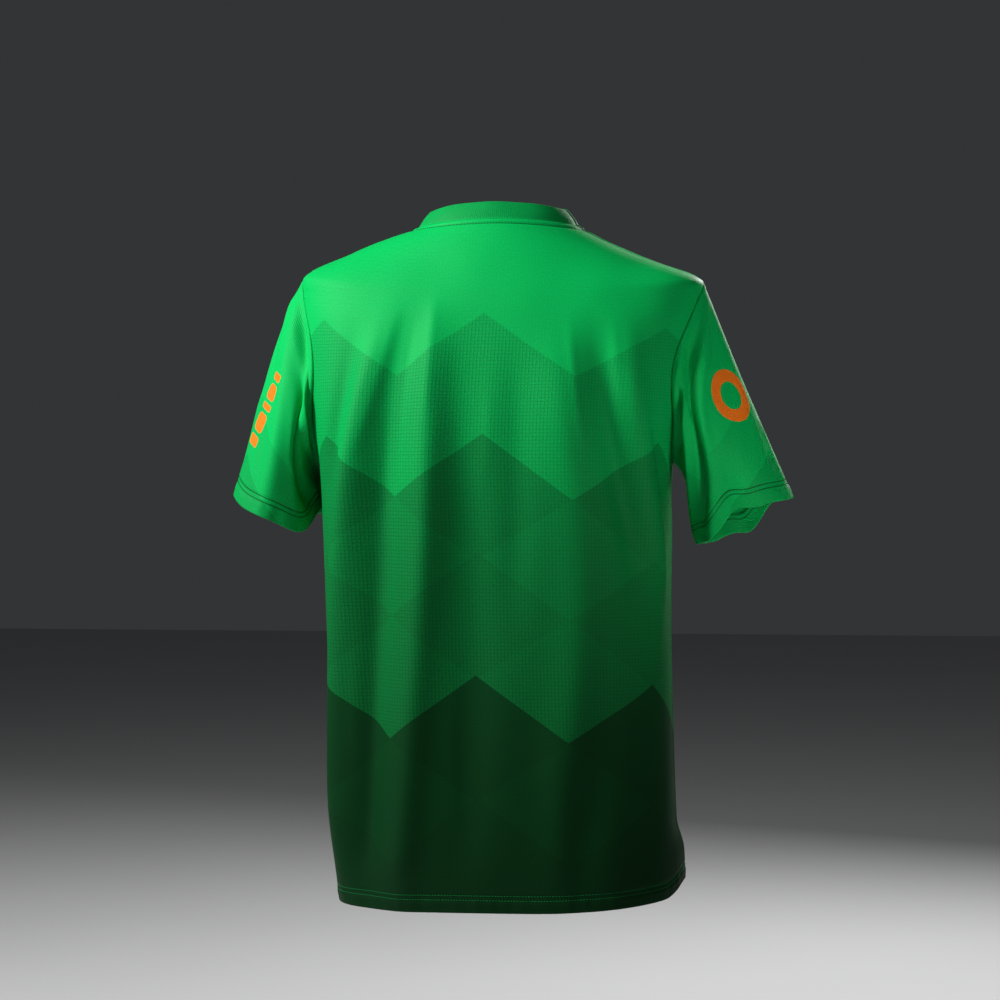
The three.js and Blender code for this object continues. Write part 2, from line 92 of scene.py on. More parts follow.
SECTIONS = (
    Section(0, -730, -731, -730, 186, 121, 111, 2.7, -11, -1.5, 0, -12),
    Section(150, -579, -580, -579, 187.5, 121, 111, 2.8, -3.5, 0, 0, -4),
    Section(300, -429, -429, -429, 188.5, 122, 113, 2.9, 0.7, 0, 0, 0),
    Section(400, -329, -329, -329, 190.5, 125, 117, 2.95, 1.8, 0, 0, 0),
    Section(474, -255, -255, -255, 193, 128, 121, 2.95, 3.5, 0, 0, 0),
    Section(530, -199, -200, -212, 203, 127, 121, 2.9, 2, 0, 0.05, 2),
    Section(585, -146, -148, -174, 210, 120, 117, 2.8, 0, -2, 0.2, 5),
    Section(635, -98, -98, -142, 217, 108, 110, 2.7, -2, -5, 0.4, 8),
    Section(660, -75, -68, -126, 221, 100, 104, 2.45, -3, -7, 0.5, 9),
    Section(675, -61, -48, -117, 219, 94, 100, 2.3, -3, -8, 0.55, 10),
    Section(700, -37, -27, -107, 173, 83, 95, 2.15, -2, -5, 0.6, 12),
    Section(722, -15, -10, -100, 128, 72, 91, 2.1, 0, -2, 0.65, 9),
    Section(742, 6, 2, -93, 88, 60, 87, 2.05, 1, 0, 0.7, 0),
)


class Fold(NamedTuple):
    """A long soft fold of a body panel.

    It runs from the level start_up down to end_up, at the distances start_x, mid_x and end_x along the
    cloth from the centre line. high is below zero in a trough. fade is the length over which each end
    of a small crease dies.
    """

    start_up: float
    end_up: float
    start_x: float
    mid_x: float
    end_x: float
    wide: float
    high: float
    fade: float = 130.0


BACK_FOLDS = (
    Fold(675, 60, 98, 164, 182, 44, 6.5),
    Fold(565, 40, 130, 168, 194, 52, 5),
    Fold(650, 450, 146, 157, 178, 30, -7),
    Fold(660, 55, 88, 115, 141, 42, -6),
    Fold(565, 40, 98, 120, 148, 50, -6),
    Fold(690, 40, 60, 64, 100, 44, 5.5),
    Fold(565, 40, 46, 68, 100, 46, 4.5),
    Fold(640, 60, 22, 14, 30, 64, -4.5),
    Fold(630, 340, -22, -37, -34, 40, -3.5),
    Fold(650, 150, -64, -100, -90, 60, 5.5),
    Fold(660, 370, -106, -138, -165, 38, -6.5),
    Fold(670, 350, -138, -170, -207, 40, 7),
    Fold(330, 40, -116, -116, -90, 50, -3),
    Fold(260, 20, -66, -73, -72, 46, 2.5),
)

FRONT_FOLDS = (
    Fold(600, 20, 118, 140, 150, 52, 5.5),
    Fold(560, 60, 84, 98, 104, 40, -4),
    Fold(585, 0, 52, 56, 66, 50, 5),
    Fold(500, 40, 12, 16, 18, 50, -3.5),
    Fold(570, 0, -40, -46, -48, 56, 5.5),
    Fold(540, 90, -80, -90, -92, 40, -4),
    Fold(610, 30, -116, -146, -158, 50, 6),
    Fold(450, 0, -196, -202, -206, 46, -3),
)

BACK_CREASES = (
    Fold(668, 500, 62, 58, 54, 15, 1.3, 50),
    Fold(655, 470, 101, 112, 138, 15, 1.2, 50),
    Fold(640, 430, 78, 84, 92, 12, -0.9, 60),
    Fold(640, 460, -84, -100, -116, 13, 1.1, 50),
    Fold(650, 440, -128, -146, -160, 14, 1.1, 60),
    Fold(560, 400, -176, -196, -212, 14, -1.0, 60),
    Fold(520, 360, 168, 182, 198, 14, 0.9, 60),
    Fold(560, 430, -4, -8, -4, 16, 0.6, 50),
    Fold(420, 250, 96, 102, 104, 16, -0.8, 60),
    Fold(380, 220, -132, -140, -138, 16, 0.8, 60),
    Fold(300, 120, 150, 158, 160, 16, -0.6, 60),
    Fold(250, 60, 30, 36, 34, 18, 0.5, 60),
    Fold(230, 50, -150, -156, -160, 18, 0.6, 60),
)

FRONT_CREASES = (
    Fold(610, 360, 120, 144, 158, 15, 1.2, 60),
    Fold(570, 320, 150, 172, 186, 15, -1.0, 60),
    Fold(560, 300, 74, 82, 88, 15, 1.0, 60),
    Fold(620, 380, -110, -134, -148, 15, 1.2, 60),
    Fold(560, 320, -146, -172, -188, 16, -1.0, 60),
    Fold(480, 240, -62, -66, -66, 16, -0.9, 60),
    Fold(300, 30, 110, 112, 112, 18, 0.6, 70),
    Fold(260, 10, -112, -118, -120, 18, 0.6, 70),
)


class Cuff(NamedTuple):
    """Where a sleeve ends: the middle of the cuff, its tilt, its half sizes and how the sleeve runs to it.

    out is the share of the first run that goes outwards over the shoulder. over and under are how far
    from plumb the sleeve ends, on top and under the arm, in degrees.
    """

    side: int
    x: float
    y: float
    z: float
    tilt: float
    wide: float
    deep: float
    out: float
    over: float
    under: float


class Lift(NamedTuple):
    """A place where the edge of a cuff is lifted off its plane."""

    turn: float
    wide: float
    high: float


class SleeveFold(NamedTuple):
    """A fold of a sleeve, which runs through three places: its start, its middle and its end.

    along is the share of the sleeve's length at each, and turn is 0 over the shoulder, 0.25 at the back
    and 0.5 under the arm.
    """

    along: tuple[float, float, float]
    turn: tuple[float, float, float]
    wide: float
    high: float


LEFT_CUFF = Cuff(1, 249, -2, -319, 31, 59, 55, 0.56, 19, 8)
RIGHT_CUFF = Cuff(-1, -271, -2, -321, 29, 57, 55, 0.35, 24, 24)

LEFT_LIFTS = (
    Lift(0.14, 0.07, -4),
    Lift(0.3, 0.08, 3),
    Lift(0.45, 0.055, 12),
    Lift(0.52, 0.11, 38),
    Lift(0.64, 0.06, 15),
    Lift(0.8, 0.12, 6),
)
RIGHT_LIFTS = (
    Lift(0.2, 0.09, 9),
    Lift(0.29, 0.055, 17),
    Lift(0.48, 0.1, 6),
    Lift(0.65, 0.05, -1),
    Lift(0.76, 0.05, -12),
    Lift(0.85, 0.07, 10),
)

LEFT_SLEEVE_FOLDS = (
    SleeveFold((0.02, 0.45, 1.0), (0.04, 0.185, 0.23), 34, 5),
    SleeveFold((0.02, 0.36, 0.95), (0.08, 0.3, 0.45), 30, -11),
    SleeveFold((0.02, 0.17, 0.1), (0.055, 0.24, 0.44), 22, 6),
    SleeveFold((0.12, 0.36, 0.6), (0, 0, 0), 40, -4),
    SleeveFold((0.05, 0.45, 0.9), (0.82, 0.77, 0.7), 30, -7),
    SleeveFold((0.1, 0.5, 1.0), (0.75, 0.69, 0.62), 26, 6),
)

RIGHT_SLEEVE_FOLDS = (
    SleeveFold((0.02, 0.4, 1.0), (0.045, 0.23, 0.37), 26, 5),
    SleeveFold((0.02, 0.42, 0.9), (0.07, 0.285, 0.4), 22, -9),
    SleeveFold((0.02, 0.36, 1.0), (0.09, 0.37, 0.46), 24, 7),
    SleeveFold((0.03, 0.14, 0.05), (0.12, 0.27, 0.45), 26, -10),
    SleeveFold((0.05, 0.45, 0.85), (0.84, 0.78, 0.72), 30, -7),
    SleeveFold((0.1, 0.5, 1.0), (0.76, 0.7, 0.64), 26, 6),
)

LEFT_SLEEVE_CREASES = (
    SleeveFold((0.05, 0.09, 0.05), (0.17, 0.3, 0.44), 12, -2.2),
    SleeveFold((0.06, 0.2, 0.4), (0.03, 0.07, 0.13), 14, 1.2),
    SleeveFold((0.5, 0.7, 0.95), (0.3, 0.33, 0.35), 14, 1.0),
    SleeveFold((0.45, 0.7, 0.95), (0.07, 0.1, 0.12), 16, -0.8),
    SleeveFold((0.2, 0.5, 0.8), (0.92, 0.89, 0.86), 12, 1.2),
)

RIGHT_SLEEVE_CREASES = (
    SleeveFold((0.03, 0.06, 0.04), (0.14, 0.28, 0.42), 9, 1.2),
    SleeveFold((0.05, 0.2, 0.4), (0.055, 0.12, 0.19), 11, 1.3),
    SleeveFold((0.5, 0.7, 0.95), (0.16, 0.22, 0.27), 15, -1.0),
    SleeveFold((0.6, 0.8, 0.97), (0.02, 0.04, 0.05), 12, 1.1),
    SleeveFold((0.2, 0.5, 0.8), (0.9, 0.87, 0.84), 12, 1.2),
)


def mix(a: np.ndarray, b: np.ndarray, t: np.ndarray) -> np.ndarray:
    """Return the blend of a and b at t."""
    return a + (b - a) * t


def ease(t: np.ndarray) -> np.ndarray:
    """Return a smooth step of t, which is held from 0 to 1."""
    c = np.clip(t, 0.0, 1.0)
    return c * c * (3 - 2 * c)


def hump(offset: np.ndarray) -> np.ndarray:
    """Return a fold's height across its width, as a share that is 1 on its line."""
    return np.exp(-1.4 * offset * offset)


def through_three(a: float, b: float, c: float, t: np.ndarray) -> np.ndarray:
    """Return a curve's value at t, given at its start, its middle and its end."""
    return a * (1 - t) * (1 - 2 * t) + 4 * b * t * (1 - t) + c * t * (2 * t - 1)


def normals_of(grid: np.ndarray, wraps: bool, outward: float) -> np.ndarray:
    """Return the unit normals of a grid of points.

    Args:
        grid: points by row, column and axis.
        wraps: whether the columns close into a ring.
        outward: 1 or -1, the sign that turns the normals out of the garment.

    Returns:
        One unit vector for each point.
    """
    down = np.gradient(grid, axis=0)
    if wraps:
        across = (np.roll(grid, -1, axis=1) - np.roll(grid, 1, axis=1)) / 2
    else:
        across = np.gradient(grid, axis=1)
    found = np.cross(across, down)
    length = np.linalg.norm(found, axis=2, keepdims=True)
    return outward * found / np.maximum(length, 1e-9)


@dataclass
class Cloth:
    """A finished piece of cloth as a grid of outer points, with what the later pieces need from it."""

    outer: np.ndarray
    normals: np.ndarray
    flat: np.ndarray
    thickness: np.ndarray
    wraps: bool
    levels: np.ndarray


@dataclass
class Torso:
    """The body's form: smooth sections, before any fold.

    flick is how far the hem's corner on -X is turned outwards and up.
    """

    sections: tuple[Section, ...] = SECTIONS
    armhole_depth: float = 70.0
    armhole_roundness: float = 0.6
    flick: tuple[float, float] = (-6.5, 12.0)
    steps: int = 240

    def level(self, name: str, up: float) -> float:
        """Return a smooth curve's value through one column of the section table.

        Args:
            name: the column.
            up: the level, in millimetres along the centre back.

        Returns:
            The column's value there.
        """
        rows = self.sections
        last = len(rows) - 1
        i = 0
        while i < last - 1 and up > rows[i + 1].up:
            i += 1

        def slope(k: int) -> float:
            """Return the curve's slope at one section."""
            low, high = rows[max(k - 1, 0)], rows[min(k + 1, last)]
            return (getattr(high, name) - getattr(low, name)) / (high.up - low.up)

        here, after = rows[i], rows[i + 1]
        span = after.up - here.up
        t = (up - here.up) / span
        return (
            (2 * t**3 - 3 * t**2 + 1) * getattr(here, name)
            + (t**3 - 2 * t**2 + t) * span * slope(i)
            + (3 * t**2 - 2 * t**3) * getattr(after, name)
            + (t**3 - t**2) * span * slope(i + 1)
        )

    def quarter(self, face: Face, up: float) -> tuple[np.ndarray, np.ndarray, np.ndarray]:
        """Return a quarter of a section as x, y and length along it, from the centre line to the side."""
        half = self.level("half", up)
        deep = self.level("back" if face is Face.BACK else "front", up)
        square = self.level("square", up)
        angle = np.linspace(0, math.pi / 2, self.steps + 1)
        reach = ((np.abs(np.sin(angle)) / half) ** square + (np.abs(np.cos(angle)) / deep) ** square) ** (
            -1 / square
        )
        x, y = reach * np.sin(angle), reach * np.cos(angle)
        length = np.concatenate([[0.0], np.cumsum(np.hypot(np.diff(x), np.diff(y)))])
        return x, y, length

    def row(self, face: Face, across: np.ndarray, up: float) -> np.ndarray:
        """Return points of one level.

        Args:
            face: which half of the body.
            across: shares from -1 to 1, side to side, by length of cloth.
            up: the level.

        Returns:
            One point for each share.
        """
        x, y, length = self.quarter(face, up)
        share = np.clip(np.abs(across), 0, 1)
        wanted = share * length[-1]
        centre = self.level("back_z" if face is Face.BACK else "front_z", up)
        side = self.level("side_z", up) - np.where(across < 0, self.level("right_drop", up), 0.0)
        to_side = (1 - np.cos(math.pi * share)) / 2
        if face is Face.FRONT:
            to_side = mix(to_side, 1 - np.cos(math.pi / 2 * share), self.level("scoop", up))
        sag = self.level("dip", up) * np.sin(math.pi * share) ** 2
        corner = ease((-across - 0.76) / 0.24) * ease((85 - up) / 55)
        middle = self.level("shift", up)
        return np.stack(
            [
                middle + np.sign(across) * np.interp(wanted, length, x) + self.flick[0] * corner,
                face.value * np.interp(wanted, length, y),
                mix(centre, side, to_side) + sag + self.flick[1] * corner,
            ],
            axis=1,
        )

    def edge(self, face: Face, up: float) -> float:
        """Return where the armhole cuts a level, as a share from the centre line to the side."""
        along = (up - UNDERARM_UP) / (SHOULDER_UP - UNDERARM_UP)
        if along <= 0 or along >= 1:
            return 1.0
        bite = self.armhole_depth * math.sin(math.pi * along) ** self.armhole_roundness
        return 1 - bite / self.quarter(face, up)[2][-1]


@dataclass
class BodyPanel:
    """The back or the front of the jersey."""

    name: str
    face: Face
    folds: tuple[Fold, ...]
    creases: tuple[Fold, ...]
    torso: Torso
    columns: int = 168
    body_rows: int = 128
    armhole_rows: int = 84
    shoulder_rows: int = 22
    cloth: float = 0.9
    hem_cloth: float = 2.0
    hem_fold: float = 22.5
    bite_spread: float = 1.4
    hem_stitches: tuple[float, float] = (13.4, 18.1)
    neck_stitch: float = 4.0

    def levels(self) -> np.ndarray:
        """Return the levels of the panel's rows, from the hem up."""
        edge = [0.0, 0.12, 0.4, 0.9, 2.5, 5.5, 9.0, 11.8, *self.hem_stitches, 15.7, 20.0, 22.2, 23.6]
        body = np.linspace(27.0, UNDERARM_UP, self.body_rows)[:-1]
        share = np.linspace(1, 0, self.armhole_rows + 1)
        eased = 0.85 * (1 - np.cos(math.pi * share)) / 2 + 0.15 * share
        arm = SHOULDER_UP - (SHOULDER_UP - UNDERARM_UP) * eased
        top = np.linspace(SHOULDER_UP, NECK_UP - 9, self.shoulder_rows)[1:]
        rim = NECK_UP - np.array([7.0, 5.2, self.neck_stitch, 3.0, 2.0, 1.0, 0.0])
        return np.concatenate([np.sort(edge), body, arm, top, rim])

    def fold_height(self, cloth: np.ndarray, up: float) -> np.ndarray:
        """Return how far the long folds and the creases push the cloth out.

        Args:
            cloth: distances along the cloth from the centre line.
            up: their level.

        Returns:
            Heights in millimetres.
        """
        height = np.zeros_like(cloth)
        for k, fold in enumerate(self.folds):
            run = np.clip((fold.start_up - up) / (fold.start_up - fold.end_up), 0, 1)
            swell = ease((fold.start_up - up) / 130) * ease((up - fold.end_up + 90) / 150)
            uneven = 1 + 0.18 * math.sin(up / (61 + 7 * k) + 1.7 * k)
            sway = 1.6 * math.sin(up / (74 + 5 * k) + 2.3 * k)
            centre = through_three(fold.start_x, fold.mid_x, fold.end_x, run) + sway
            height += fold.high * swell * uneven * hump(2 * (cloth - centre) / fold.wide)
        for k, fold in enumerate(self.creases):
            run = np.clip((fold.start_up - up) / (fold.start_up - fold.end_up), 0, 1)
            swell = ease((fold.start_up - up) / fold.fade) * ease((up - fold.end_up) / fold.fade)
            sway = 2.0 * math.sin(up / (37 + 4 * k) + 1.1 * k)
            centre = through_three(fold.start_x, fold.mid_x, fold.end_x, run) + sway
            height += fold.high * swell * hump(2 * (cloth - centre) / fold.wide)
        return height

    def surface_height(self, cloth: np.ndarray, up: float, in_from_side: np.ndarray) -> np.ndarray:
        """Return the small relief of a panel: its seams, its stitched hem and its slight unevenness.

        Args:
            cloth: distances along the cloth from the centre line.
            up: their level.
            in_from_side: their distances from the panel's edge.

        Returns:
            Heights in millimetres.
        """
        ripple = (
            0.35 * np.sin(cloth / 19 + 1.3 * math.sin(up / 83))
            + 0.3 * np.sin(cloth / 31 - up / 140 + 0.8)
            + 0.22 * np.sin(cloth / 11.3 + up / 57)
        )
        height = ripple * ease(in_from_side / 26) * ease((NECK_UP - 12 - up) / 40)
        height += 0.55 * hump((in_from_side - 4.2) / 3.0)
        over_shoulder = ease((up - SHOULDER_UP) / 6)
        ridge, groove = hump((in_from_side - 8.5) / 2.4), hump((in_from_side - 12) / 2.2)
        height += over_shoulder * (1.1 * ridge - 0.5 * groove)
        for line in self.hem_stitches:
            height -= 0.7 * hump((up - line) / 1.0)
        pucker = 0.3 * np.sin(cloth / 3.1 + 1.9 * np.sin(cloth / 17)) + 0.25 * np.sin(cloth / 7.7)
        height += pucker * hump((up - 10) / 8) + 0.35 * hump((up - 11) / 7)
        height += 1.0 * ease((up - (NECK_UP - self.neck_stitch)) / 1.6)
        height -= 0.6 * hump((up - (NECK_UP - self.neck_stitch)) / 1.0)
        return height * ease(in_from_side / 3.0)

    def normal(self, place: Callable, across: np.ndarray, up: float) -> np.ndarray:
        """Return the outward normals of a surface.

        Args:
            place: a function that gives the surface's points at some shares of one level.
            across: the shares.
            up: the level.

        Returns:
            One unit vector for each share.
        """
        inside = np.clip(across, SHARE_STEP - 1, 1 - SHARE_STEP)
        level = min(max(up, UP_STEP), NECK_UP - UP_STEP)
        sideways = place(inside + SHARE_STEP, level) - place(inside - SHARE_STEP, level)
        upwards = place(inside, level + UP_STEP) - place(inside, level - UP_STEP)
        found = np.cross(upwards, sideways) * self.face.value
        return found / np.linalg.norm(found, axis=1, keepdims=True)

    def form(self, across: np.ndarray, up: float) -> np.ndarray:
        """Return points of the bare form at some shares of one level."""
        return self.torso.row(self.face, across, up)

    def place(self, across: np.ndarray, up: float) -> np.ndarray:
        """Return points of the finished cloth at some shares of one level."""
        total = self.torso.quarter(self.face, up)[2][-1]
        cloth = across * total
        in_from_side = np.maximum(self.torso.edge(self.face, up) - np.abs(across), 0) * total
        calm = ease((1 - np.abs(across)) * 12) * ease((NECK_UP - up) / 60)
        height = self.fold_height(cloth, up) * calm + self.surface_height(cloth, up, in_from_side)
        return self.form(across, up) + self.normal(self.form, across, up) * height[:, None]

    def make(self) -> Cloth:
        """Work out the panel's grid.

        Returns:
            The panel's cloth.
        """
        rows = self.levels()
        share = np.linspace(-1, 1, self.columns + 1)
        outer = np.zeros((len(rows), len(share), 3))
        normals, cloth = np.zeros_like(outer), np.zeros(outer.shape[:2])
        for j, up in enumerate(rows):
            bite = (1 - self.torso.edge(self.face, up)) * np.abs(share) ** self.bite_spread
            across = share * (1 - bite)
            outer[j] = self.place(across, up)
            normals[j] = self.normal(self.place, across, up)
            cloth[j] = across * self.torso.quarter(self.face, up)[2][-1]
        up = np.repeat(rows[:, None], len(share), axis=1)
        thickness = np.where(up < self.hem_fold, self.hem_cloth, self.cloth)
        outer, thickness = round_edge(outer, normals, thickness, up)
        return Cloth(outer, normals, np.stack([cloth, up], axis=2), thickness, False, rows)


def round_edge(
    outer: np.ndarray, normals: np.ndarray, thickness: np.ndarray, from_edge: np.ndarray
) -> tuple[np.ndarray, np.ndarray]:
    """Round a folded edge, so that the cloth turns over it.

    Args:
        outer: the outer points.
        normals: their normals.
        thickness: the cloth's thickness at each point.
        from_edge: each point's distance from the edge.

    Returns:
        The new outer points and the new thickness.
    """
    radius = thickness / 2
    t = np.clip(1 - from_edge / radius, 0, 1)
    drop = radius * (1 - np.sqrt(np.maximum(1 - t * t, 0.0)))
    return outer - normals * drop[..., None], np.maximum(thickness - 2 * drop, 0.02)


def round_sleeve(over: float, beside: float, under: float, turn: np.ndarray) -> np.ndarray:
    """Return a value that changes round a sleeve, given over the shoulder, beside it and under the arm."""
    c = np.cos(turn * TURN)
    return beside + (over - under) / 2 * c + ((over + under) / 2 - beside) * c * c


def nearest_on_fold(
    fold: SleeveFold, turns: np.ndarray, along: np.ndarray, girth: np.ndarray, length: float
) -> tuple[np.ndarray, np.ndarray]:
    """Find the nearest place on a sleeve's fold to each point of the cloth.

    Args:
        fold: the fold.
        turns: the points' turns round the sleeve.
        along: their shares of its length.
        girth: the sleeve's girth at each.
        length: the sleeve's length.

    Returns:
        The distances to the fold along the cloth, and the shares of the fold's length there.
    """
    shares = np.linspace(0, 1, 25)
    near = np.round(turns - fold.turn[1])
    xs = [(through_three(*fold.turn, t) + near - turns) * girth for t in shares]
    ys = [(through_three(*fold.along, t) - along) * length for t in shares]
    best, share = np.full(turns.shape, np.inf), np.zeros(turns.shape)
    for k in range(len(shares) - 1):
        way_x, way_y = xs[k + 1] - xs[k], ys[k + 1] - ys[k]
        part = np.clip(-(xs[k] * way_x + ys[k] * way_y) / (way_x**2 + way_y**2), 0, 1)
        distance = np.hypot(xs[k] + way_x * part, ys[k] + way_y * part)
        nearer = distance < best
        share = np.where(nearer, (k + part) / (len(shares) - 1), share)
        best = np.where(nearer, distance, best)
    return best, share


@dataclass
class Sleeve:
    """A short set-in sleeve with its cuff turned up and stitched."""

    name: str
    cuff: Cuff
    lifts: tuple[Lift, ...]
    folds: tuple[SleeveFold, ...]
    creases: tuple[SleeveFold, ...]
    back: Cloth
    front: Cloth
    rows: int = 84
    cloth: float = 0.9
    cuff_cloth: float = 2.0
    cuff_fold: float = 23.0
    stitches: tuple[float, float] = (16.5, 21.5)

    def armhole(self) -> tuple[np.ndarray, np.ndarray]:
        """Return the armhole's points and their turns, from the shoulder down the back and up the front."""
        found = []
        for cloth in (self.back, self.front):
            within = (cloth.levels >= UNDERARM_UP - 1e-6) & (cloth.levels <= SHOULDER_UP + 1e-6)
            edge = cloth.outer[within, -1 if self.cuff.side > 0 else 0]
            found.append(edge[::-1])
        back, front = found[0], found[1][::-1]
        middle = (back[-1] + front[0]) / 2
        top = (back[0] + front[-1]) / 2
        ring = np.concatenate([[top], back[1:-1], [middle], front[1:-1]])
        return ring, np.arange(len(ring)) / len(ring)

    def make(self) -> Cloth:
        """Work out the sleeve's grid.

        Returns:
            The sleeve's cloth, with its rows running from the armhole to the cuff.
        """
        cuff = self.cuff
        start, turn = self.armhole()
        angle = turn * TURN
        tilt = math.radians(cuff.tilt)
        lift = np.zeros_like(turn)
        for part in self.lifts:
            away = (turn - part.turn - np.round(turn - part.turn)) / part.wide
            lift += part.high * np.exp(-away * away)
        end = np.stack(
            [
                cuff.x + cuff.side * math.cos(tilt) * cuff.wide * np.cos(angle),
                cuff.y + cuff.deep * np.sin(angle),
                cuff.z + math.sin(tilt) * cuff.wide * np.cos(angle) + lift,
            ],
            axis=1,
        )
        run = round_sleeve(235, 190, 80, turn)
        swing = np.radians(mix(cuff.under, cuff.over, (1 + np.cos(angle)) / 2))
        leave = np.stack(
            [
                cuff.side * round_sleeve(cuff.out, 0.34, 0.75, turn),
                0.22 * np.sin(angle),
                -round_sleeve(0.93, 0.85, 0.4, turn),
            ],
            axis=1,
        )
        leave *= run[:, None]
        arrive = np.stack([cuff.side * np.sin(swing), 0 * swing, -np.cos(swing)], axis=1) * run[:, None]
        near = np.array([30.0, 26.0, 23.8, 22.6, self.stitches[1], 19.0, self.stitches[0], 13.0, 9.0])
        rim = np.array([5.0, 2.5, 0.9, 0.4, 0.12, 0.0])
        from_edge = np.concatenate([near, rim])
        shares = np.linspace(0, 1, self.rows + 1)[:-1] ** 0.92
        along = np.concatenate(
            [shares[:, None] * (1 - 34 / run)[None, :], 1 - from_edge[:, None] / run[None, :]], axis=0
        )
        t = along[..., None]
        base = (
            start[None] * (2 * t**3 - 3 * t**2 + 1)
            + leave[None] * (t**3 - 2 * t**2 + t)
            + end[None] * (3 * t**2 - 2 * t**3)
            + arrive[None] * (t**3 - t**2)
        )
        outward = -cuff.side
        turns = np.repeat(turn[None, :], along.shape[0], axis=0)
        height = self.fold_height(turns, along)
        folded = base + normals_of(base, True, outward) * height[..., None]
        step = np.linalg.norm(np.diff(folded, axis=0), axis=2)
        down = np.concatenate([np.zeros((1, len(turn))), np.cumsum(step, axis=0)], axis=0)
        to_edge = down[-1:] - down
        around = np.linalg.norm(folded - np.roll(folded, 1, axis=1), axis=2)
        around[:, 0] = 0
        cloth = np.cumsum(around, axis=1)
        girth = cloth[:, -1:] + np.linalg.norm(folded[:, :1] - folded[:, -1:], axis=2)
        signed = np.where(turns > 0.5, cloth - girth, cloth)
        relief = self.surface_height(signed, down, to_edge)
        outer = folded + normals_of(folded, True, outward) * relief[..., None]
        normals = normals_of(outer, True, outward)
        thickness = np.where(to_edge < self.cuff_fold, self.cuff_cloth, self.cloth)
        outer, thickness = round_edge(outer, normals, thickness, to_edge)
        flat = np.stack([signed, to_edge], axis=2)
        return Cloth(outer, normals, flat, thickness, True, np.arange(along.shape[0]))

    def fold_height(self, turns: np.ndarray, along: np.ndarray) -> np.ndarray:
        """Return how far the sleeve's folds push the cloth out, at each turn and share of its length."""
        height = np.zeros_like(turns)
        girth = mix(420, 345, along)
        for fold in self.folds + self.creases:
            distance, share = nearest_on_fold(fold, turns, along, girth, 200.0)
            fade = ease((1 - share) / 0.3) if fold.along[2] < 1 else 1.0
            height += fold.high * ease(share / 0.2) * fade * hump(2 * distance / fold.wide)
        return height * ease(along * 200 / 12)

    def surface_height(self, cloth: np.ndarray, down: np.ndarray, to_edge: np.ndarray) -> np.ndarray:
        """Return the small relief of a sleeve: its seam, its stitched cuff and its slight unevenness."""
        ripple = 0.3 * np.sin(cloth / 15 + down / 60) + 0.22 * np.sin(cloth / 9.1 - down / 45 + 1)
        height = ripple * ease(down / 30) * ease((to_edge - 24) / 20)
        height += 0.5 * hump((down - 4.2) / 3.0) * ease(down / 3)
        for line in self.stitches:
            height -= 0.7 * hump((to_edge - line) / 1.0)
        pucker = 0.3 * np.sin(cloth / 2.9 + 1.7 * np.sin(cloth / 13)) + 0.25 * np.sin(cloth / 6.9 + 1)
        return height + pucker * hump((to_edge - 9) / 7) + 0.35 * hump((to_edge - 11) / 7)


@dataclass
class NeckBand:
    """The narrow folded band that stands on the neckline."""

    back: Cloth
    front: Cloth
    width: float = 22.6
    cloth: float = 2.2
    belly: float = 1.2
    upright: tuple[float, float, float] = (0.9, 0.8, 0.6)
    rows: int = 26

    def make(self) -> Cloth:
        """Work out the band's grid.

        Returns:
            The band's cloth, with its rows running from its foot to its folded top.
        """
        back, front = self.back.outer[-1], self.front.outer[-1][::-1]
        ring = np.concatenate([back[:-1], front[:-1]])
        share = np.linspace(-1, 1, len(back))
        to_side = (1 - np.cos(math.pi * np.abs(share))) / 2
        at_back, at_side, at_front = self.upright
        upright = np.concatenate([mix(end, at_side, to_side)[:-1] for end in (at_back, at_front)])
        inward = -ring * np.array([1.0, 1.0, 0.0])
        inward /= np.linalg.norm(inward, axis=1, keepdims=True)
        lean = inward * np.sqrt(1 - upright**2)[:, None] + upright[:, None] * np.array([0.0, 0.0, 1.0])
        top = self.width
        edge = np.array([1.1, 0.6, 0.2, 0.0])
        rise = np.concatenate([[0.0, 0.5, 1.2, 2.2], np.linspace(3.5, top - 2.0, self.rows), top - edge])
        belly = self.belly * np.sin(math.pi * rise / top)
        base = ring[None] + lean[None] * rise[:, None, None] - inward[None] * belly[:, None, None]
        step = np.linalg.norm(ring - np.roll(ring, 1, axis=0), axis=1)
        step[0] = 0
        cloth = np.repeat(np.cumsum(step)[None], len(rise), axis=0)
        height = np.repeat(rise[:, None], len(ring), axis=1)
        wave = 0.5 * np.sin(cloth / 23) * ease(height / 8)
        wave += 0.25 * np.sin(cloth / 9 + 1) * ease(height / 12)
        base += normals_of(base, True, -1.0) * wave[..., None]
        normals = normals_of(base, True, -1.0)
        thickness = np.full(height.shape, self.cloth)
        outer, thickness = round_edge(base, normals, thickness, top - height)
        return Cloth(outer, normals, np.stack([cloth, height], axis=2), thickness, True, rise)


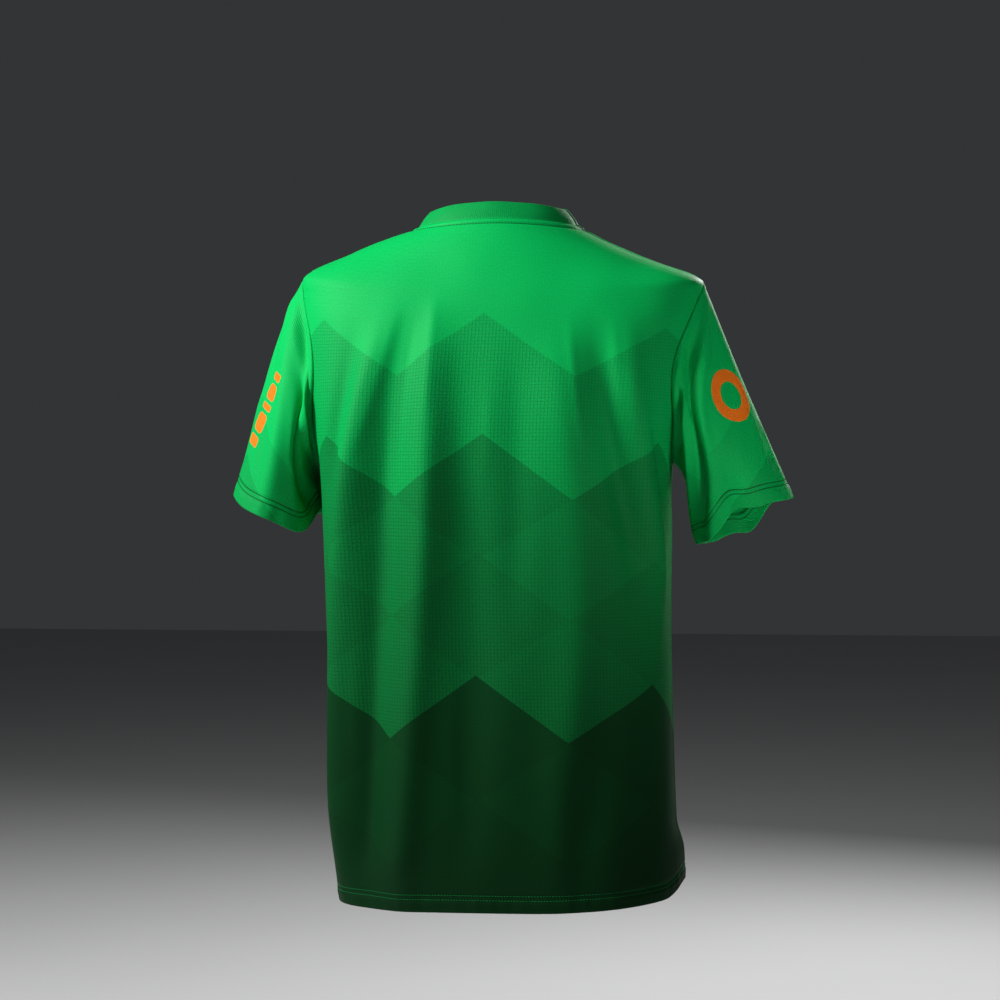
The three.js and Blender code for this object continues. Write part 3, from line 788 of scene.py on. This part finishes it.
def shell(name: str, cloth: Cloth, flip: bool, crisp: bool) -> bpy.types.Object:
    """Make the closed thin shell of a piece of cloth.

    Args:
        name: the object's name.
        cloth: the piece's grid.
        flip: whether the faces need turning round to point outwards.
        crisp: whether its first and last rows end in a sharp edge.

    Returns:
        The object, with its flat cloth sizes as its UV map, in metres.
    """
    rows, columns = cloth.outer.shape[:2]
    inner = cloth.outer - cloth.normals * cloth.thickness[..., None]
    points = np.concatenate([cloth.outer.reshape(-1, 3), inner.reshape(-1, 3)]) * MM
    index = np.arange(rows * columns).reshape(rows, columns)
    after = np.roll(index, -1, axis=1) if cloth.wraps else index[:, 1:]
    here = index if cloth.wraps else index[:, :-1]
    quads = np.stack([here[:-1], after[:-1], after[1:], here[1:]], axis=-1).reshape(-1, 4)
    inside = rows * columns
    faces = [quads, (quads + inside)[:, ::-1]]

    def rim(a: np.ndarray, b: np.ndarray) -> np.ndarray:
        """Return the faces that close an edge, between its points a and the next ones b."""
        return np.stack([b, a, a + inside, b + inside], axis=-1)

    faces.append(rim(here[0], after[0]))
    faces.append(rim(after[-1], here[-1]))
    if not cloth.wraps:
        faces.append(rim(index[1:, 0], index[:-1, 0]))
        faces.append(rim(index[:-1, -1], index[1:, -1]))
    faces = np.concatenate([part.reshape(-1, 4) for part in faces])
    if flip:
        faces = faces[:, ::-1]
    mesh = bpy.data.meshes.new(name)
    mesh.from_pydata(points.tolist(), [], faces.tolist())
    flat = np.concatenate([cloth.flat.reshape(-1, 2)] * 2) * MM
    corners = flat[faces.reshape(-1)]
    if cloth.wraps:
        girth = (cloth.flat[..., 0].max() - cloth.flat[..., 0].min()) * MM
        quad = corners.reshape(-1, 4, 2)
        torn = (quad[..., 0].max(axis=1) - quad[..., 0].min(axis=1)) > girth / 2
        low = quad[..., 0] < (quad[..., 0].max(axis=1, keepdims=True) - girth / 2)
        quad[..., 0] += np.where(torn[:, None] & low, girth, 0.0)
        corners = quad.reshape(-1, 2)
    layer = mesh.uv_layers.new(name="cloth")
    layer.data.foreach_set("uv", corners.astype(np.float32).ravel())
    smooth = np.ones(len(faces), dtype=bool)
    if crisp:
        smooth[2 * len(quads) : 2 * len(quads) + 2 * here.shape[1]] = False
    mesh.polygons.foreach_set("use_smooth", smooth)
    mesh.validate()
    made = bpy.data.objects.new(name, mesh)
    bpy.context.collection.objects.link(made)
    return made


class Value:
    """A socket that can be written in sums, so that shader maths reads as an expression."""

    def __init__(self, finish: "Finish", socket: bpy.types.NodeSocket) -> None:
        """Hold one output socket of a finish."""
        self.finish = finish
        self.socket = socket

    def _math(self, operation: str, *others: object, swap: bool = False) -> "Value":
        """Add a Math node on this value and others."""
        values = (*others, self) if swap else (self, *others)
        return self.finish.node("ShaderNodeMath", {"operation": operation}, dict(enumerate(values)))

    def __add__(self, other: object) -> "Value":
        """Return self + other."""
        return self._math("ADD", other)

    __radd__ = __add__

    def __sub__(self, other: object) -> "Value":
        """Return self - other."""
        return self._math("SUBTRACT", other)

    def __rsub__(self, other: object) -> "Value":
        """Return other - self."""
        return self._math("SUBTRACT", other, swap=True)

    def __mul__(self, other: object) -> "Value":
        """Return self * other."""
        return self._math("MULTIPLY", other)

    __rmul__ = __mul__

    def __truediv__(self, other: object) -> "Value":
        """Return self / other."""
        return self._math("DIVIDE", other)

    def __abs__(self) -> "Value":
        """Return the size of self."""
        return self._math("ABSOLUTE")

    def sin(self) -> "Value":
        """Return the sine of self."""
        return self._math("SINE")

    def bounce(self, length: float) -> "Value":
        """Return self folded back and forth between 0 and length."""
        return self._math("PINGPONG", length)

    def most(self, other: object) -> "Value":
        """Return the larger of self and other."""
        return self._math("MAXIMUM", other)

    def least(self, other: object) -> "Value":
        """Return the smaller of self and other."""
        return self._math("MINIMUM", other)

    def power(self, other: object) -> "Value":
        """Return self to a power."""
        return self._math("POWER", other)

    def held(self) -> "Value":
        """Return self held between 0 and 1."""
        return self.least(1.0).most(0.0)

    def step(self, soft: float) -> "Value":
        """Return 1 where self is above 0 and 0 where it is below, with a soft edge of this width."""
        return (self / soft + 0.5).held()


class Finish:
    """A material under construction, with one method that adds any node."""

    def __init__(self, name: str) -> None:
        """Start a material with an empty tree and a Principled shader."""
        self.material = bpy.data.materials.new(name)
        self.material.use_nodes = True
        self.tree = self.material.node_tree
        self.tree.nodes.clear()
        output = self.tree.nodes.new("ShaderNodeOutputMaterial")
        self.shader = self.tree.nodes.new("ShaderNodeBsdfPrincipled")
        self.tree.links.new(self.shader.outputs[0], output.inputs[0])

    def link(self, value: object, socket: bpy.types.NodeSocket) -> None:
        """Give a socket a value or a link."""
        if isinstance(value, Value):
            self.tree.links.new(value.socket, socket)
        else:
            socket.default_value = value

    def node(self, kind: str, settings: dict, inputs: dict, output: object = 0) -> Value:
        """Add a node.

        Args:
            kind: the node's type.
            settings: its properties, with a ramp's stops under "stops".
            inputs: its sockets' values or links, by name or place.
            output: the socket to return, by name or place.

        Returns:
            That output.
        """
        made = self.tree.nodes.new(kind)
        for key, value in settings.items():
            if key == "stops":
                ramp = made.color_ramp
                while len(ramp.elements) < len(value):
                    ramp.elements.new(0.5)
                for element, (place, colour) in zip(ramp.elements, value):
                    element.position = place
                    element.color = colour
            else:
                setattr(made, key, value)
        for key, value in inputs.items():
            self.link(value, made.inputs[key])
        return Value(self, made.outputs[output])

    def cloth_place(self) -> tuple[Value, Value]:
        """Return the distances across and along the flat cloth, in metres."""
        uv = self.node("ShaderNodeUVMap", {"uv_map": "cloth"}, {})
        split = self.node("ShaderNodeSeparateXYZ", {}, {0: uv}, "X")
        return split, Value(self, split.socket.node.outputs["Y"])

    def noise(self, across: Value, along: Value, scale: float, stretch: float, detail: float = 2.0) -> Value:
        """Return a soft noise on the cloth, about 0.5, drawn out along it by stretch."""
        place = self.node("ShaderNodeCombineXYZ", {}, {0: across, 1: along / stretch})
        return self.node("ShaderNodeTexNoise", {}, {"Vector": place, "Scale": scale, "Detail": detail}, "Fac")

    def blend(self, share: Value, low: object, high: object, kind: str = "MIX") -> Value:
        """Return a mix of two colours."""
        settings = {"data_type": "RGBA", "blend_type": kind}
        return self.node("ShaderNodeMix", settings, {0: share, 6: low, 7: high}, 2)

    def greens(self, tone: Value) -> Value:
        """Return the print's green at a tone from 0, the yoke's, to 1, which is nearly black."""
        stops = []
        for place in np.linspace(0, 1, 9):
            leaf = 0.48 * math.exp(-4 * place)
            stops.append((float(place), (0.001, leaf, 0.2 * leaf, 1.0)))
        return self.node("ShaderNodeValToRGB", {"stops": stops}, {0: tone.held()}, "Color")

    def surface(self, colour: Value, roughness: Value, height: Value, depth: float, **fixed: float) -> None:
        """Dress the shader.

        Args:
            colour: the base colour.
            roughness: the roughness.
            height: the bump's height, from 0 to 1.
            depth: the bump's depth in metres.
            fixed: other sockets that are the same all over.
        """
        bump = self.node("ShaderNodeBump", {}, {"Strength": 1.0, "Distance": depth, "Height": height})
        self.link(colour, self.shader.inputs["Base Color"])
        self.link(roughness, self.shader.inputs["Roughness"])
        self.link(bump, self.shader.inputs["Normal"])
        for key, value in fixed.items():
            self.shader.inputs[key.replace("_", " ")].default_value = value


@dataclass(frozen=True)
class KnitFinish:
    """Light polyester knit: a grid of open stitches over a fine knit, slanted where twill is above 0."""

    waffle: float = 0.00372
    fine: float = 0.0012
    twill: float = 0.0
    depth: float = 0.00026
    roughness: float = 0.52

    def relief(self, across: Value, along: Value, open_stitch: Value) -> Value:
        """Return the knit's height.

        Args:
            across: the distance across the cloth.
            along: the distance along it.
            open_stitch: how plainly the grid of open stitches shows, from 0 to 1.

        Returns:
            A height from 0 to 1.
        """
        wales = (across * (TURN / self.waffle)).sin() * 0.5 + 0.5
        courses = (along * (TURN / self.waffle)).sin() * 0.5 + 0.5
        grid = wales.most(courses).power(3.0) * open_stitch
        rib = (across * (TURN / self.fine)).sin() * (along * (TURN / (self.fine * 1.3))).sin()
        slanted = ((across * 0.45 + along * 0.9) * (TURN / 0.0021)).sin() * self.twill
        return (0.6 - grid * 0.5 + rib * 0.14 + slanted * 0.3).held()

    def finish_surface(
        self, finish: Finish, colour: Value, across: Value, along: Value, open_stitch: Value
    ) -> None:
        """Dress a knit surface in a colour, darker in its open stitches as painted shade, and a little
        uneven.
        """
        height = self.relief(across, along, open_stitch)
        cloud = finish.noise(across, along, 9.0, 2.5)
        fleck = finish.noise(across, along, 700.0, 1.6, 1.0)
        # The colour follows the knit's relief: its low open stitches get painted shade, while cloud and fleck
        # are the yarn's uneven tone.
        shade = 0.72 + height * 0.44 + (cloud - 0.5) * 0.08 + (fleck - 0.5) * 0.4
        grey = finish.node("ShaderNodeCombineColor", {}, {0: shade, 1: shade, 2: shade})
        worked = finish.blend(1.0, colour, grey, "MULTIPLY")
        rough = self.roughness + (cloud - 0.5) * 0.12 + (1 - height) * 0.08
        finish.surface(worked, rough, height, self.depth, Specular_IOR_Level=0.07)


class Zigzag(NamedTuple):
    """One row of the print: the level of its peaks and how much it darkens the cloth below it.

    darker and answer are in stops of the tone scale, where 1 is the whole way from the yoke's green to
    nearly black. answer is how much the row's mirrored lines lighten the cloth below them again.
    """

    peak: float
    darker: float
    answer: float


@dataclass(frozen=True)
class BodyPrint:
    """The body's tones: printed rows of zigzags that darken step by step from the yoke to the hem, over
    painted shade that darkens the cloth steadily towards the hem.
    """

    name: str
    centre: float = 0.004
    drift: float = 0.03
    sway: float = 0.006
    sway_reach: float = 0.1
    chest: float = 0.45
    slant: float = 0.018
    droop: float = 0.33
    droop_ease: float = 0.44
    period: float = 0.185
    narrow: float = 0.94
    height: float = 0.0665
    band_edge: float = 0.7384
    neck_line: float = 0.738
    needle_pitch: float = 0.0032
    hem_lines: tuple[float, float] = (0.0134, 0.0181)
    rows: tuple[Zigzag, ...] = (
        Zigzag(0.634, 0.04, 0.0),
        Zigzag(0.5025, 0.12, 0.022),
        Zigzag(0.377, 0.035, 0.022),
        Zigzag(0.248, 0.27, 0.035),
        Zigzag(0.119, 0.03, 0.0),
    )
    # fade and the next field paint shade: the tone darkens steadily from the neck down, and faster below the
    # chest.
    fade: float = 0.2
    painted_shade_below_chest: float = 0.42
    knit: KnitFinish = KnitFinish()

    def build(self) -> bpy.types.Material:
        """Make the printed knit.

        Returns:
            The material.
        """
        finish = Finish(self.name)
        across, along = finish.cloth_place()
        below_chest = (self.chest - along).most(0.0)
        near_second = (1 - abs(along - self.rows[1].peak) * (1 / self.sway_reach)).most(0.0)
        middle = self.centre + below_chest * self.drift - near_second * self.sway
        offset = across - middle
        offset = offset.most(0.0) + offset.least(0.0) * self.narrow
        swing = offset.bounce(self.period / 2) * (2 * self.height / self.period)
        place = along - across * self.slant + across * across * (self.droop - along * self.droop_ease)
        # Painted shade: the tone grows darker steadily from the neck to the hem, and faster below the chest.
        tone = (NECK_UP * MM - along) * self.fade + below_chest * self.painted_shade_below_chest
        for row in self.rows:
            tone = tone + (row.peak - swing - place).step(0.0012) * row.darker
            if row.answer:
                mirrored = row.peak - 2 * self.height + swing - place
                tone = tone - mirrored.step(0.0014) * row.answer
        # Painted shade: a row of dark dots along the neck's stitch line, for the shade in the needle holes.
        needle_hole_shade = (across * (TURN / self.needle_pitch)).sin().held()
        needle_hole_shade = needle_hole_shade * stitch_groove_shade(along, (self.neck_line, self.neck_line))
        # Painted highlight: the panel's top strip above band_edge is lightened, for its upturned edge
        # catching the light at the foot of the band.
        tone = tone - (along - self.band_edge).step(0.0006) * 0.03 + needle_hole_shade * 1.6
        # Painted shade in the grooves of the hem's sewing lines.
        tone = tone + stitch_groove_shade(along, self.hem_lines) * 0.5
        colour = finish.greens(tone)
        first, fourth = self.rows[0], self.rows[3]
        below = (first.peak - swing - place).step(0.004)
        above = 1 - (fourth.peak - swing - place).step(0.004)
        open_stitch = 0.2 + below * above * 0.8
        self.knit.finish_surface(finish, colour, across, along, open_stitch)
        return finish.material


def stitch_groove_shade(along: Value, lines: tuple[float, float]) -> Value:
    """Return painted shade for the grooves where the cloth's sewing lines sink in, at some distances along
    it.
    """
    near = (0.0006 - abs(along - lines[0])).most(0.0006 - abs(along - lines[1]))
    return near.step(0.0006) * 0.3


@dataclass(frozen=True)
class SleevePrint:
    """The sleeves' tones, with a plain orange mark on each."""

    name: str
    marks: Callable[[Value, Value], Value]
    start: float = 0.03
    half_period: float = 0.0925
    slope: float = 0.69
    rows: tuple[Zigzag, ...] = (Zigzag(0.118, 0.035, 0.0), Zigzag(0.052, 0.05, 0.0))
    top: float = 0.22
    fade: float = 0.12
    cuff_lines: tuple[float, float] = (0.0165, 0.0215)
    knit: KnitFinish = KnitFinish(waffle=0.0026, twill=1.0)

    def build(self) -> bpy.types.Material:
        """Make the sleeve's knit.

        Returns:
            The material.
        """
        finish = Finish(self.name)
        across, along = finish.cloth_place()
        swing = (across - self.start).bounce(self.half_period) * self.slope
        # Darker towards the cuff, with painted shade in the grooves of the cuff's sewing lines.
        tone = (self.top - along) * self.fade + stitch_groove_shade(along, self.cuff_lines) * 0.7
        for row in self.rows:
            tone = tone + (row.peak - swing - along).step(0.0014) * row.darker
        colour = finish.greens(tone)
        marked = finish.blend(self.marks(across, along), colour, ORANGE)
        self.knit.finish_surface(finish, marked, across, along, across * 0.0 + 0.3)
        return finish.material


def rounded_block(
    across: Value, along: Value, place: tuple[float, float], size: tuple[float, float]
) -> Value:
    """Return the mask of a block with round corners.

    Args:
        across: the distance across the cloth.
        along: the distance along it.
        place: the block's middle.
        size: its width and length.

    Returns:
        1 inside the block and 0 outside.
    """
    radius = min(size) * 0.3
    beside = (abs(across - place[0]) - (size[0] / 2 - radius)).most(0.0)
    beyond = (abs(along - place[1]) - (size[1] / 2 - radius)).most(0.0)
    away = (beside * beside + beyond * beyond).power(0.5)
    return (radius - away).step(0.0008)


def broken_bar(across: Value, along: Value) -> Value:
    """Return the left sleeve's mark: a row of short blocks of uneven length down the sleeve."""
    top, mask = 0.152, across * 0.0
    aside = across - along * 0.34
    for length in (0.009, 0.018, 0.007, 0.022, 0.012):
        mask = mask.most(rounded_block(aside, along, (0.013, top - length / 2), (0.024, length)))
        top -= length + 0.005
    return mask


def plain_ring(across: Value, along: Value) -> Value:
    """Return the right sleeve's mark: a plain ring."""
    beside, beyond = across - 0.048, along - 0.125
    away = (beside * beside + beyond * beyond).power(0.5)
    return (0.007 - abs(away - 0.023)).step(0.0008)


@dataclass(frozen=True)
class BandFinish:
    """The neck band's fine rib, with painted shade between its ribs and a painted highlight along its foot.
    """

    name: str = "neck_rib"
    rib: float = 0.0022

    def build(self) -> bpy.types.Material:
        """Make the band's rib knit.

        Returns:
            The material.
        """
        finish = Finish(self.name)
        across, along = finish.cloth_place()
        ribs = (across * (TURN / self.rib)).sin() * 0.5 + 0.5
        fleck = finish.noise(across, along, 620.0, 2.2, 1.0)
        height = ribs * 0.3 + fleck * 0.7
        cloud = finish.noise(across, along, 30.0, 1.0)
        # Painted highlight: the band's lowest strip is lightened, for its rolled foot catching the light.
        painted_foot_highlight = (0.0016 - along).step(0.0014)
        # Raised ribs and flecks are lighter and sunk ones darker, as painted shade; cloud is uneven tone.
        colour = finish.greens(0.12 + (cloud - 0.5) * 0.05 - (height - 0.5) * 0.14 - painted_foot_highlight * 0.05)
        finish.surface(colour, 0.6 + height * 0.05, height, 0.00024, Specular_IOR_Level=0.07)
        return finish.material


@dataclass(frozen=True)
class ThreadFinish:
    """Green sewing thread."""

    name: str
    tone: float

    def build(self) -> bpy.types.Material:
        """Make the thread.

        Returns:
            The material.
        """
        finish = Finish(self.name)
        place = finish.node("ShaderNodeTexCoord", {}, {}, "Object")
        fuzz = finish.node("ShaderNodeTexNoise", {}, {"Vector": place, "Scale": 1800.0}, "Fac")
        colour = finish.greens(self.tone + fuzz * 0.1)
        finish.surface(colour, 0.5 + fuzz * 0.2, fuzz, 0.0001, Specular_IOR_Level=0.1)
        return finish.material


@dataclass(frozen=True)
class Stitching:
    """Rows of short thread stitches that lie in the cloth."""

    length: float = 2.3
    gap: float = 0.9
    thread: float = 0.36

    def pattern(self) -> tuple[np.ndarray, np.ndarray]:
        """Return the points and faces of one stitch, made from a small drawn-out ball."""
        bpy.ops.object.select_all(action="DESELECT")
        bpy.ops.mesh.primitive_uv_sphere_add(segments=6, ring_count=4, radius=1.0, location=(0, 0, 0))
        ball = bpy.context.object
        bpy.ops.object.mode_set(mode="EDIT")
        bpy.ops.mesh.select_all(action="SELECT")
        bpy.ops.mesh.quads_convert_to_tris()
        bpy.ops.object.mode_set(mode="OBJECT")
        points = np.array([vertex.co[:] for vertex in ball.data.vertices])
        faces = np.array([face.vertices[:] for face in ball.data.polygons])
        bpy.data.objects.remove(ball, do_unlink=True)
        return points, faces

    def sew(
        self, name: str, runs: list[tuple[np.ndarray, np.ndarray]], material: bpy.types.Material
    ) -> bpy.types.Object:
        """Sew stitches along some paths.

        Args:
            name: the object's name.
            runs: each path's points and the cloth's normals there.
            material: the thread.

        Returns:
            One object that holds all the stitches.
        """
        points, faces = self.pattern()
        all_points, all_faces, placed = [], [], 0
        for path, normals in runs:
            step = np.linalg.norm(np.diff(path, axis=0), axis=1)
            length = np.concatenate([[0.0], np.cumsum(step)])
            pitch = self.length + self.gap
            for k in range(int(length[-1] / pitch)):
                ends = np.array([k * pitch + 0.3, k * pitch + 0.3 + self.length])
                a, b = (np.array([np.interp(e, length, path[:, c]) for c in range(3)]) for e in ends)
                out = np.array([np.interp(ends.mean(), length, normals[:, c]) for c in range(3)])
                along = (b - a) / np.linalg.norm(b - a)
                out -= along * out.dot(along)
                out /= np.linalg.norm(out)
                aside = np.cross(out, along)
                half = np.linalg.norm(b - a) / 2
                local = points[:, [0]] * aside * self.thread + points[:, [1]] * out * self.thread
                local = local + points[:, [2]] * along * half
                all_points.append((a + b) / 2 + out * self.thread * 0.35 + local)
                all_faces.append(faces + placed * len(points))
                placed += 1
        mesh = bpy.data.meshes.new(name)
        mesh.from_pydata((np.concatenate(all_points) * MM).tolist(), [], np.concatenate(all_faces).tolist())
        mesh.shade_smooth()
        mesh.materials.append(material)
        made = bpy.data.objects.new(name, mesh)
        bpy.context.collection.objects.link(made)
        return made


@dataclass
class Jersey:
    """The whole garment."""

    torso: Torso = field(default_factory=Torso)
    stitching: Stitching = Stitching()
    neck_stitching: Stitching = Stitching(length=1.7, gap=1.5)

    def dress(
        self,
        cloth: Cloth,
        node: str,
        flip: bool,
        material: bpy.types.Material,
        slot: str,
    ) -> None:
        """Args:
            cloth: its grid.
            node: the solid that it stands for.
            flip: whether its faces need turning round.
            material: its finish.
            slot: the kind of its finish; every kind but sleeve_knit gives the shell crisp first and last
                rows.
        """
        piece = shell(f"{node}_cloth", cloth, flip, crisp=slot != "sleeve_knit")
        piece.data.materials.append(material)
        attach(piece, "root")
        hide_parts(node)
        LOG.info("%s: %d faces", piece.name, len(piece.data.polygons))

    def sew(
        self,
        name: str,
        stitching: Stitching,
        runs: list[tuple[np.ndarray, np.ndarray]],
        material: bpy.types.Material,
        slot: str,
    ) -> None:
        """Sew one piece's stitches and make them ride with it.

        Args:
            name: the stitches' name.
            stitching: how long and how far apart they are.
            runs: each path's points and the cloth's normals there.
            material: the thread.
            slot: not used.
        """
        made = stitching.sew(name, runs, material)
        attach(made, "root")
        LOG.info("%s: %d faces", made.name, len(made.data.polygons))

    def build(self) -> None:
        """Make every piece of the garment, its finishes and its stitches."""
        back_panel = BodyPanel("back_panel", Face.BACK, BACK_FOLDS, BACK_CREASES, self.torso)
        front_panel = BodyPanel("front_panel", Face.FRONT, FRONT_FOLDS, FRONT_CREASES, self.torso)
        back, front = back_panel.make(), front_panel.make()
        join_sides(back, front)
        left = Sleeve(
            "left_sleeve", LEFT_CUFF, LEFT_LIFTS, LEFT_SLEEVE_FOLDS, LEFT_SLEEVE_CREASES, back, front
        )
        right = Sleeve(
            "right_sleeve", RIGHT_CUFF, RIGHT_LIFTS, RIGHT_SLEEVE_FOLDS, RIGHT_SLEEVE_CREASES, back, front
        )
        left_cloth, right_cloth = left.make(), right.make()
        band = NeckBand(back, front).make()

        body = BodyPrint("printed_knit").build()
        left_knit = SleevePrint("left_sleeve_knit", broken_bar).build()
        right_knit = SleevePrint("right_sleeve_knit", plain_ring).build()
        rib = BandFinish().build()
        cuff_thread = ThreadFinish("cuff_thread", 0.36).build()
        hem_thread = ThreadFinish("hem_thread", 0.14).build()
        neck_thread = ThreadFinish("neck_thread", 0.7).build()

        self.dress(back, back_panel.name, False, body, "printed_knit")
        self.dress(front, front_panel.name, True, body, "printed_knit")
        self.dress(left_cloth, left.name, True, left_knit, "sleeve_knit")
        self.dress(right_cloth, right.name, False, right_knit, "sleeve_knit")
        self.dress(band, "collar_band", True, rib, "neck_rib")

        for name, cloth, panel in (("back", back, back_panel), ("front", front, front_panel)):
            hem = [row_path(cloth, line) for line in panel.hem_stitches]
            self.sew(f"{name}_hem_stitches", self.stitching, hem, hem_thread, "printed_knit")
            neck = [row_path(cloth, NECK_UP - panel.neck_stitch)]
            self.sew(f"{name}_neck_stitches", self.neck_stitching, neck, neck_thread, "printed_knit")
        for name, sleeve, cloth in (("left", left, left_cloth), ("right", right, right_cloth)):
            runs = [row_path(cloth, line, from_edge=True) for line in sleeve.stitches]
            self.sew(f"{name}_cuff_stitches", self.stitching, runs, cuff_thread, "sleeve_knit")


def join_sides(back: Cloth, front: Cloth) -> None:
    """Bring the side and shoulder edges of the two panels onto one line."""
    for column in (0, -1):
        below = (back.levels <= UNDERARM_UP + 1e-6) | (back.levels >= SHOULDER_UP - 1e-6)
        shared = (back.outer[below, column] + front.outer[below, column]) / 2
        back.outer[below, column] = shared
        front.outer[below, column] = shared


def row_path(cloth: Cloth, line: float, from_edge: bool = False) -> tuple[np.ndarray, np.ndarray]:
    """Return the points and normals along a stitch line.

    Args:
        cloth: the piece.
        line: the line's level, or its distance from the cuff's edge.
        from_edge: whether line is such a distance.

    Returns:
        The points and the normals.
    """
    if from_edge:
        row = int(np.argmin(np.abs(cloth.flat[:, :, 1].mean(axis=1) - line)))
    else:
        row = int(np.argmin(np.abs(cloth.levels - line)))
    path, normals = cloth.outer[row], cloth.normals[row]
    if cloth.wraps:
        path, normals = np.vstack([path, path[:1]]), np.vstack([normals, normals[:1]])
    return path, normals


@dataclass(frozen=True)
class Lamp:
    """A square soft light, with the place that it faces and how wide it spreads, in degrees."""

    name: str
    place: tuple[float, float, float]
    size: float
    power: float
    aim: tuple[float, float, float] = (0.0, 0.0, -0.3)
    spread: float = 180.0

    def hang(self) -> None:
        """Hang the light, out of the camera's sight."""
        lamp = bpy.data.lights.new(self.name, "AREA")
        lamp.shape, lamp.size, lamp.energy = "SQUARE", self.size, self.power
        lamp.spread = math.radians(self.spread)
        made = bpy.data.objects.new(self.name, lamp)
        made.location = self.place
        way = Vector(self.aim) - Vector(self.place)
        made.rotation_euler = way.to_track_quat("-Z", "Y").to_euler()
        made.visible_camera = False
        bpy.context.collection.objects.link(made)


@dataclass
class Studio:
    """The plain pale floor, the soft lights and the camera."""

    lamps: tuple[Lamp, ...] = (
        Lamp("key", (1.9, 0.98, 1.2), 0.7, 102.0),
        Lamp("fill", (-0.9, 0.85, 0.0), 0.5, 1.6),
        Lamp("low_fill", (-0.95, 0.75, -0.5), 0.3, 0.16, (-0.31, 0.05, -0.3), 28.0),
        Lamp("rim", (-0.9, -2.2, 0.8), 0.5, 50.0),
    )
    distance: float = 2.6
    azimuth: float = 188.0
    camera_z: float = -0.296
    lens: float = 85.1
    floor_z: float = -1.12

    def floor(self) -> None:
        """Lay the plain pale floor."""
        finish = Finish("pale_paper")
        place = finish.node("ShaderNodeTexCoord", {}, {}, "Object")
        cloud = finish.node("ShaderNodeTexNoise", {}, {"Vector": place, "Scale": 1.5}, "Fac")
        stops = [(0.0, (0.56, 0.56, 0.56, 1)), (1.0, (0.6, 0.6, 0.6, 1))]
        colour = finish.node("ShaderNodeValToRGB", {"stops": stops}, {0: cloud}, "Color")
        finish.surface(colour, 0.85 + cloud * 0.05, cloud, 0.0)
        bpy.ops.object.select_all(action="DESELECT")
        bpy.ops.mesh.primitive_plane_add(size=24.0, location=(0, 0, self.floor_z))
        floor = bpy.context.object
        floor.name = "floor"
        floor.data.transform(floor.matrix_world)
        floor.matrix_world.identity()
        floor.data.materials.append(finish.material)

    def build(self) -> None:
        """Set out the floor, the lights, the world and the camera."""
        self.floor()
        for lamp in self.lamps:
            lamp.hang()
        world = bpy.data.worlds.new("studio")
        world.use_nodes = True
        world.node_tree.nodes["Background"].inputs[0].default_value = (0.55, 0.57, 0.6, 1)
        world.node_tree.nodes["Background"].inputs[1].default_value = 0.06
        bpy.context.scene.world = world
        bpy.context.scene.view_settings.view_transform = "Standard"
        angle = math.radians(self.azimuth)
        camera = bpy.data.cameras.new("camera")
        camera.lens, camera.sensor_width = self.lens, 36.0
        made = bpy.data.objects.new("camera", camera)
        made.location = (math.sin(angle) * self.distance, -math.cos(angle) * self.distance, self.camera_z)
        made.rotation_euler = (math.pi / 2, 0.0, angle)
        bpy.context.collection.objects.link(made)
        bpy.context.scene.camera = made


def main() -> None:
    """Build the studio and the jersey."""
    logging.basicConfig(level=logging.INFO, format="%(name)s: %(message)s")
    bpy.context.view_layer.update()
    Studio().build()
    LOG.info("studio")
    Jersey().build()


if __name__ == "__main__":
    main()
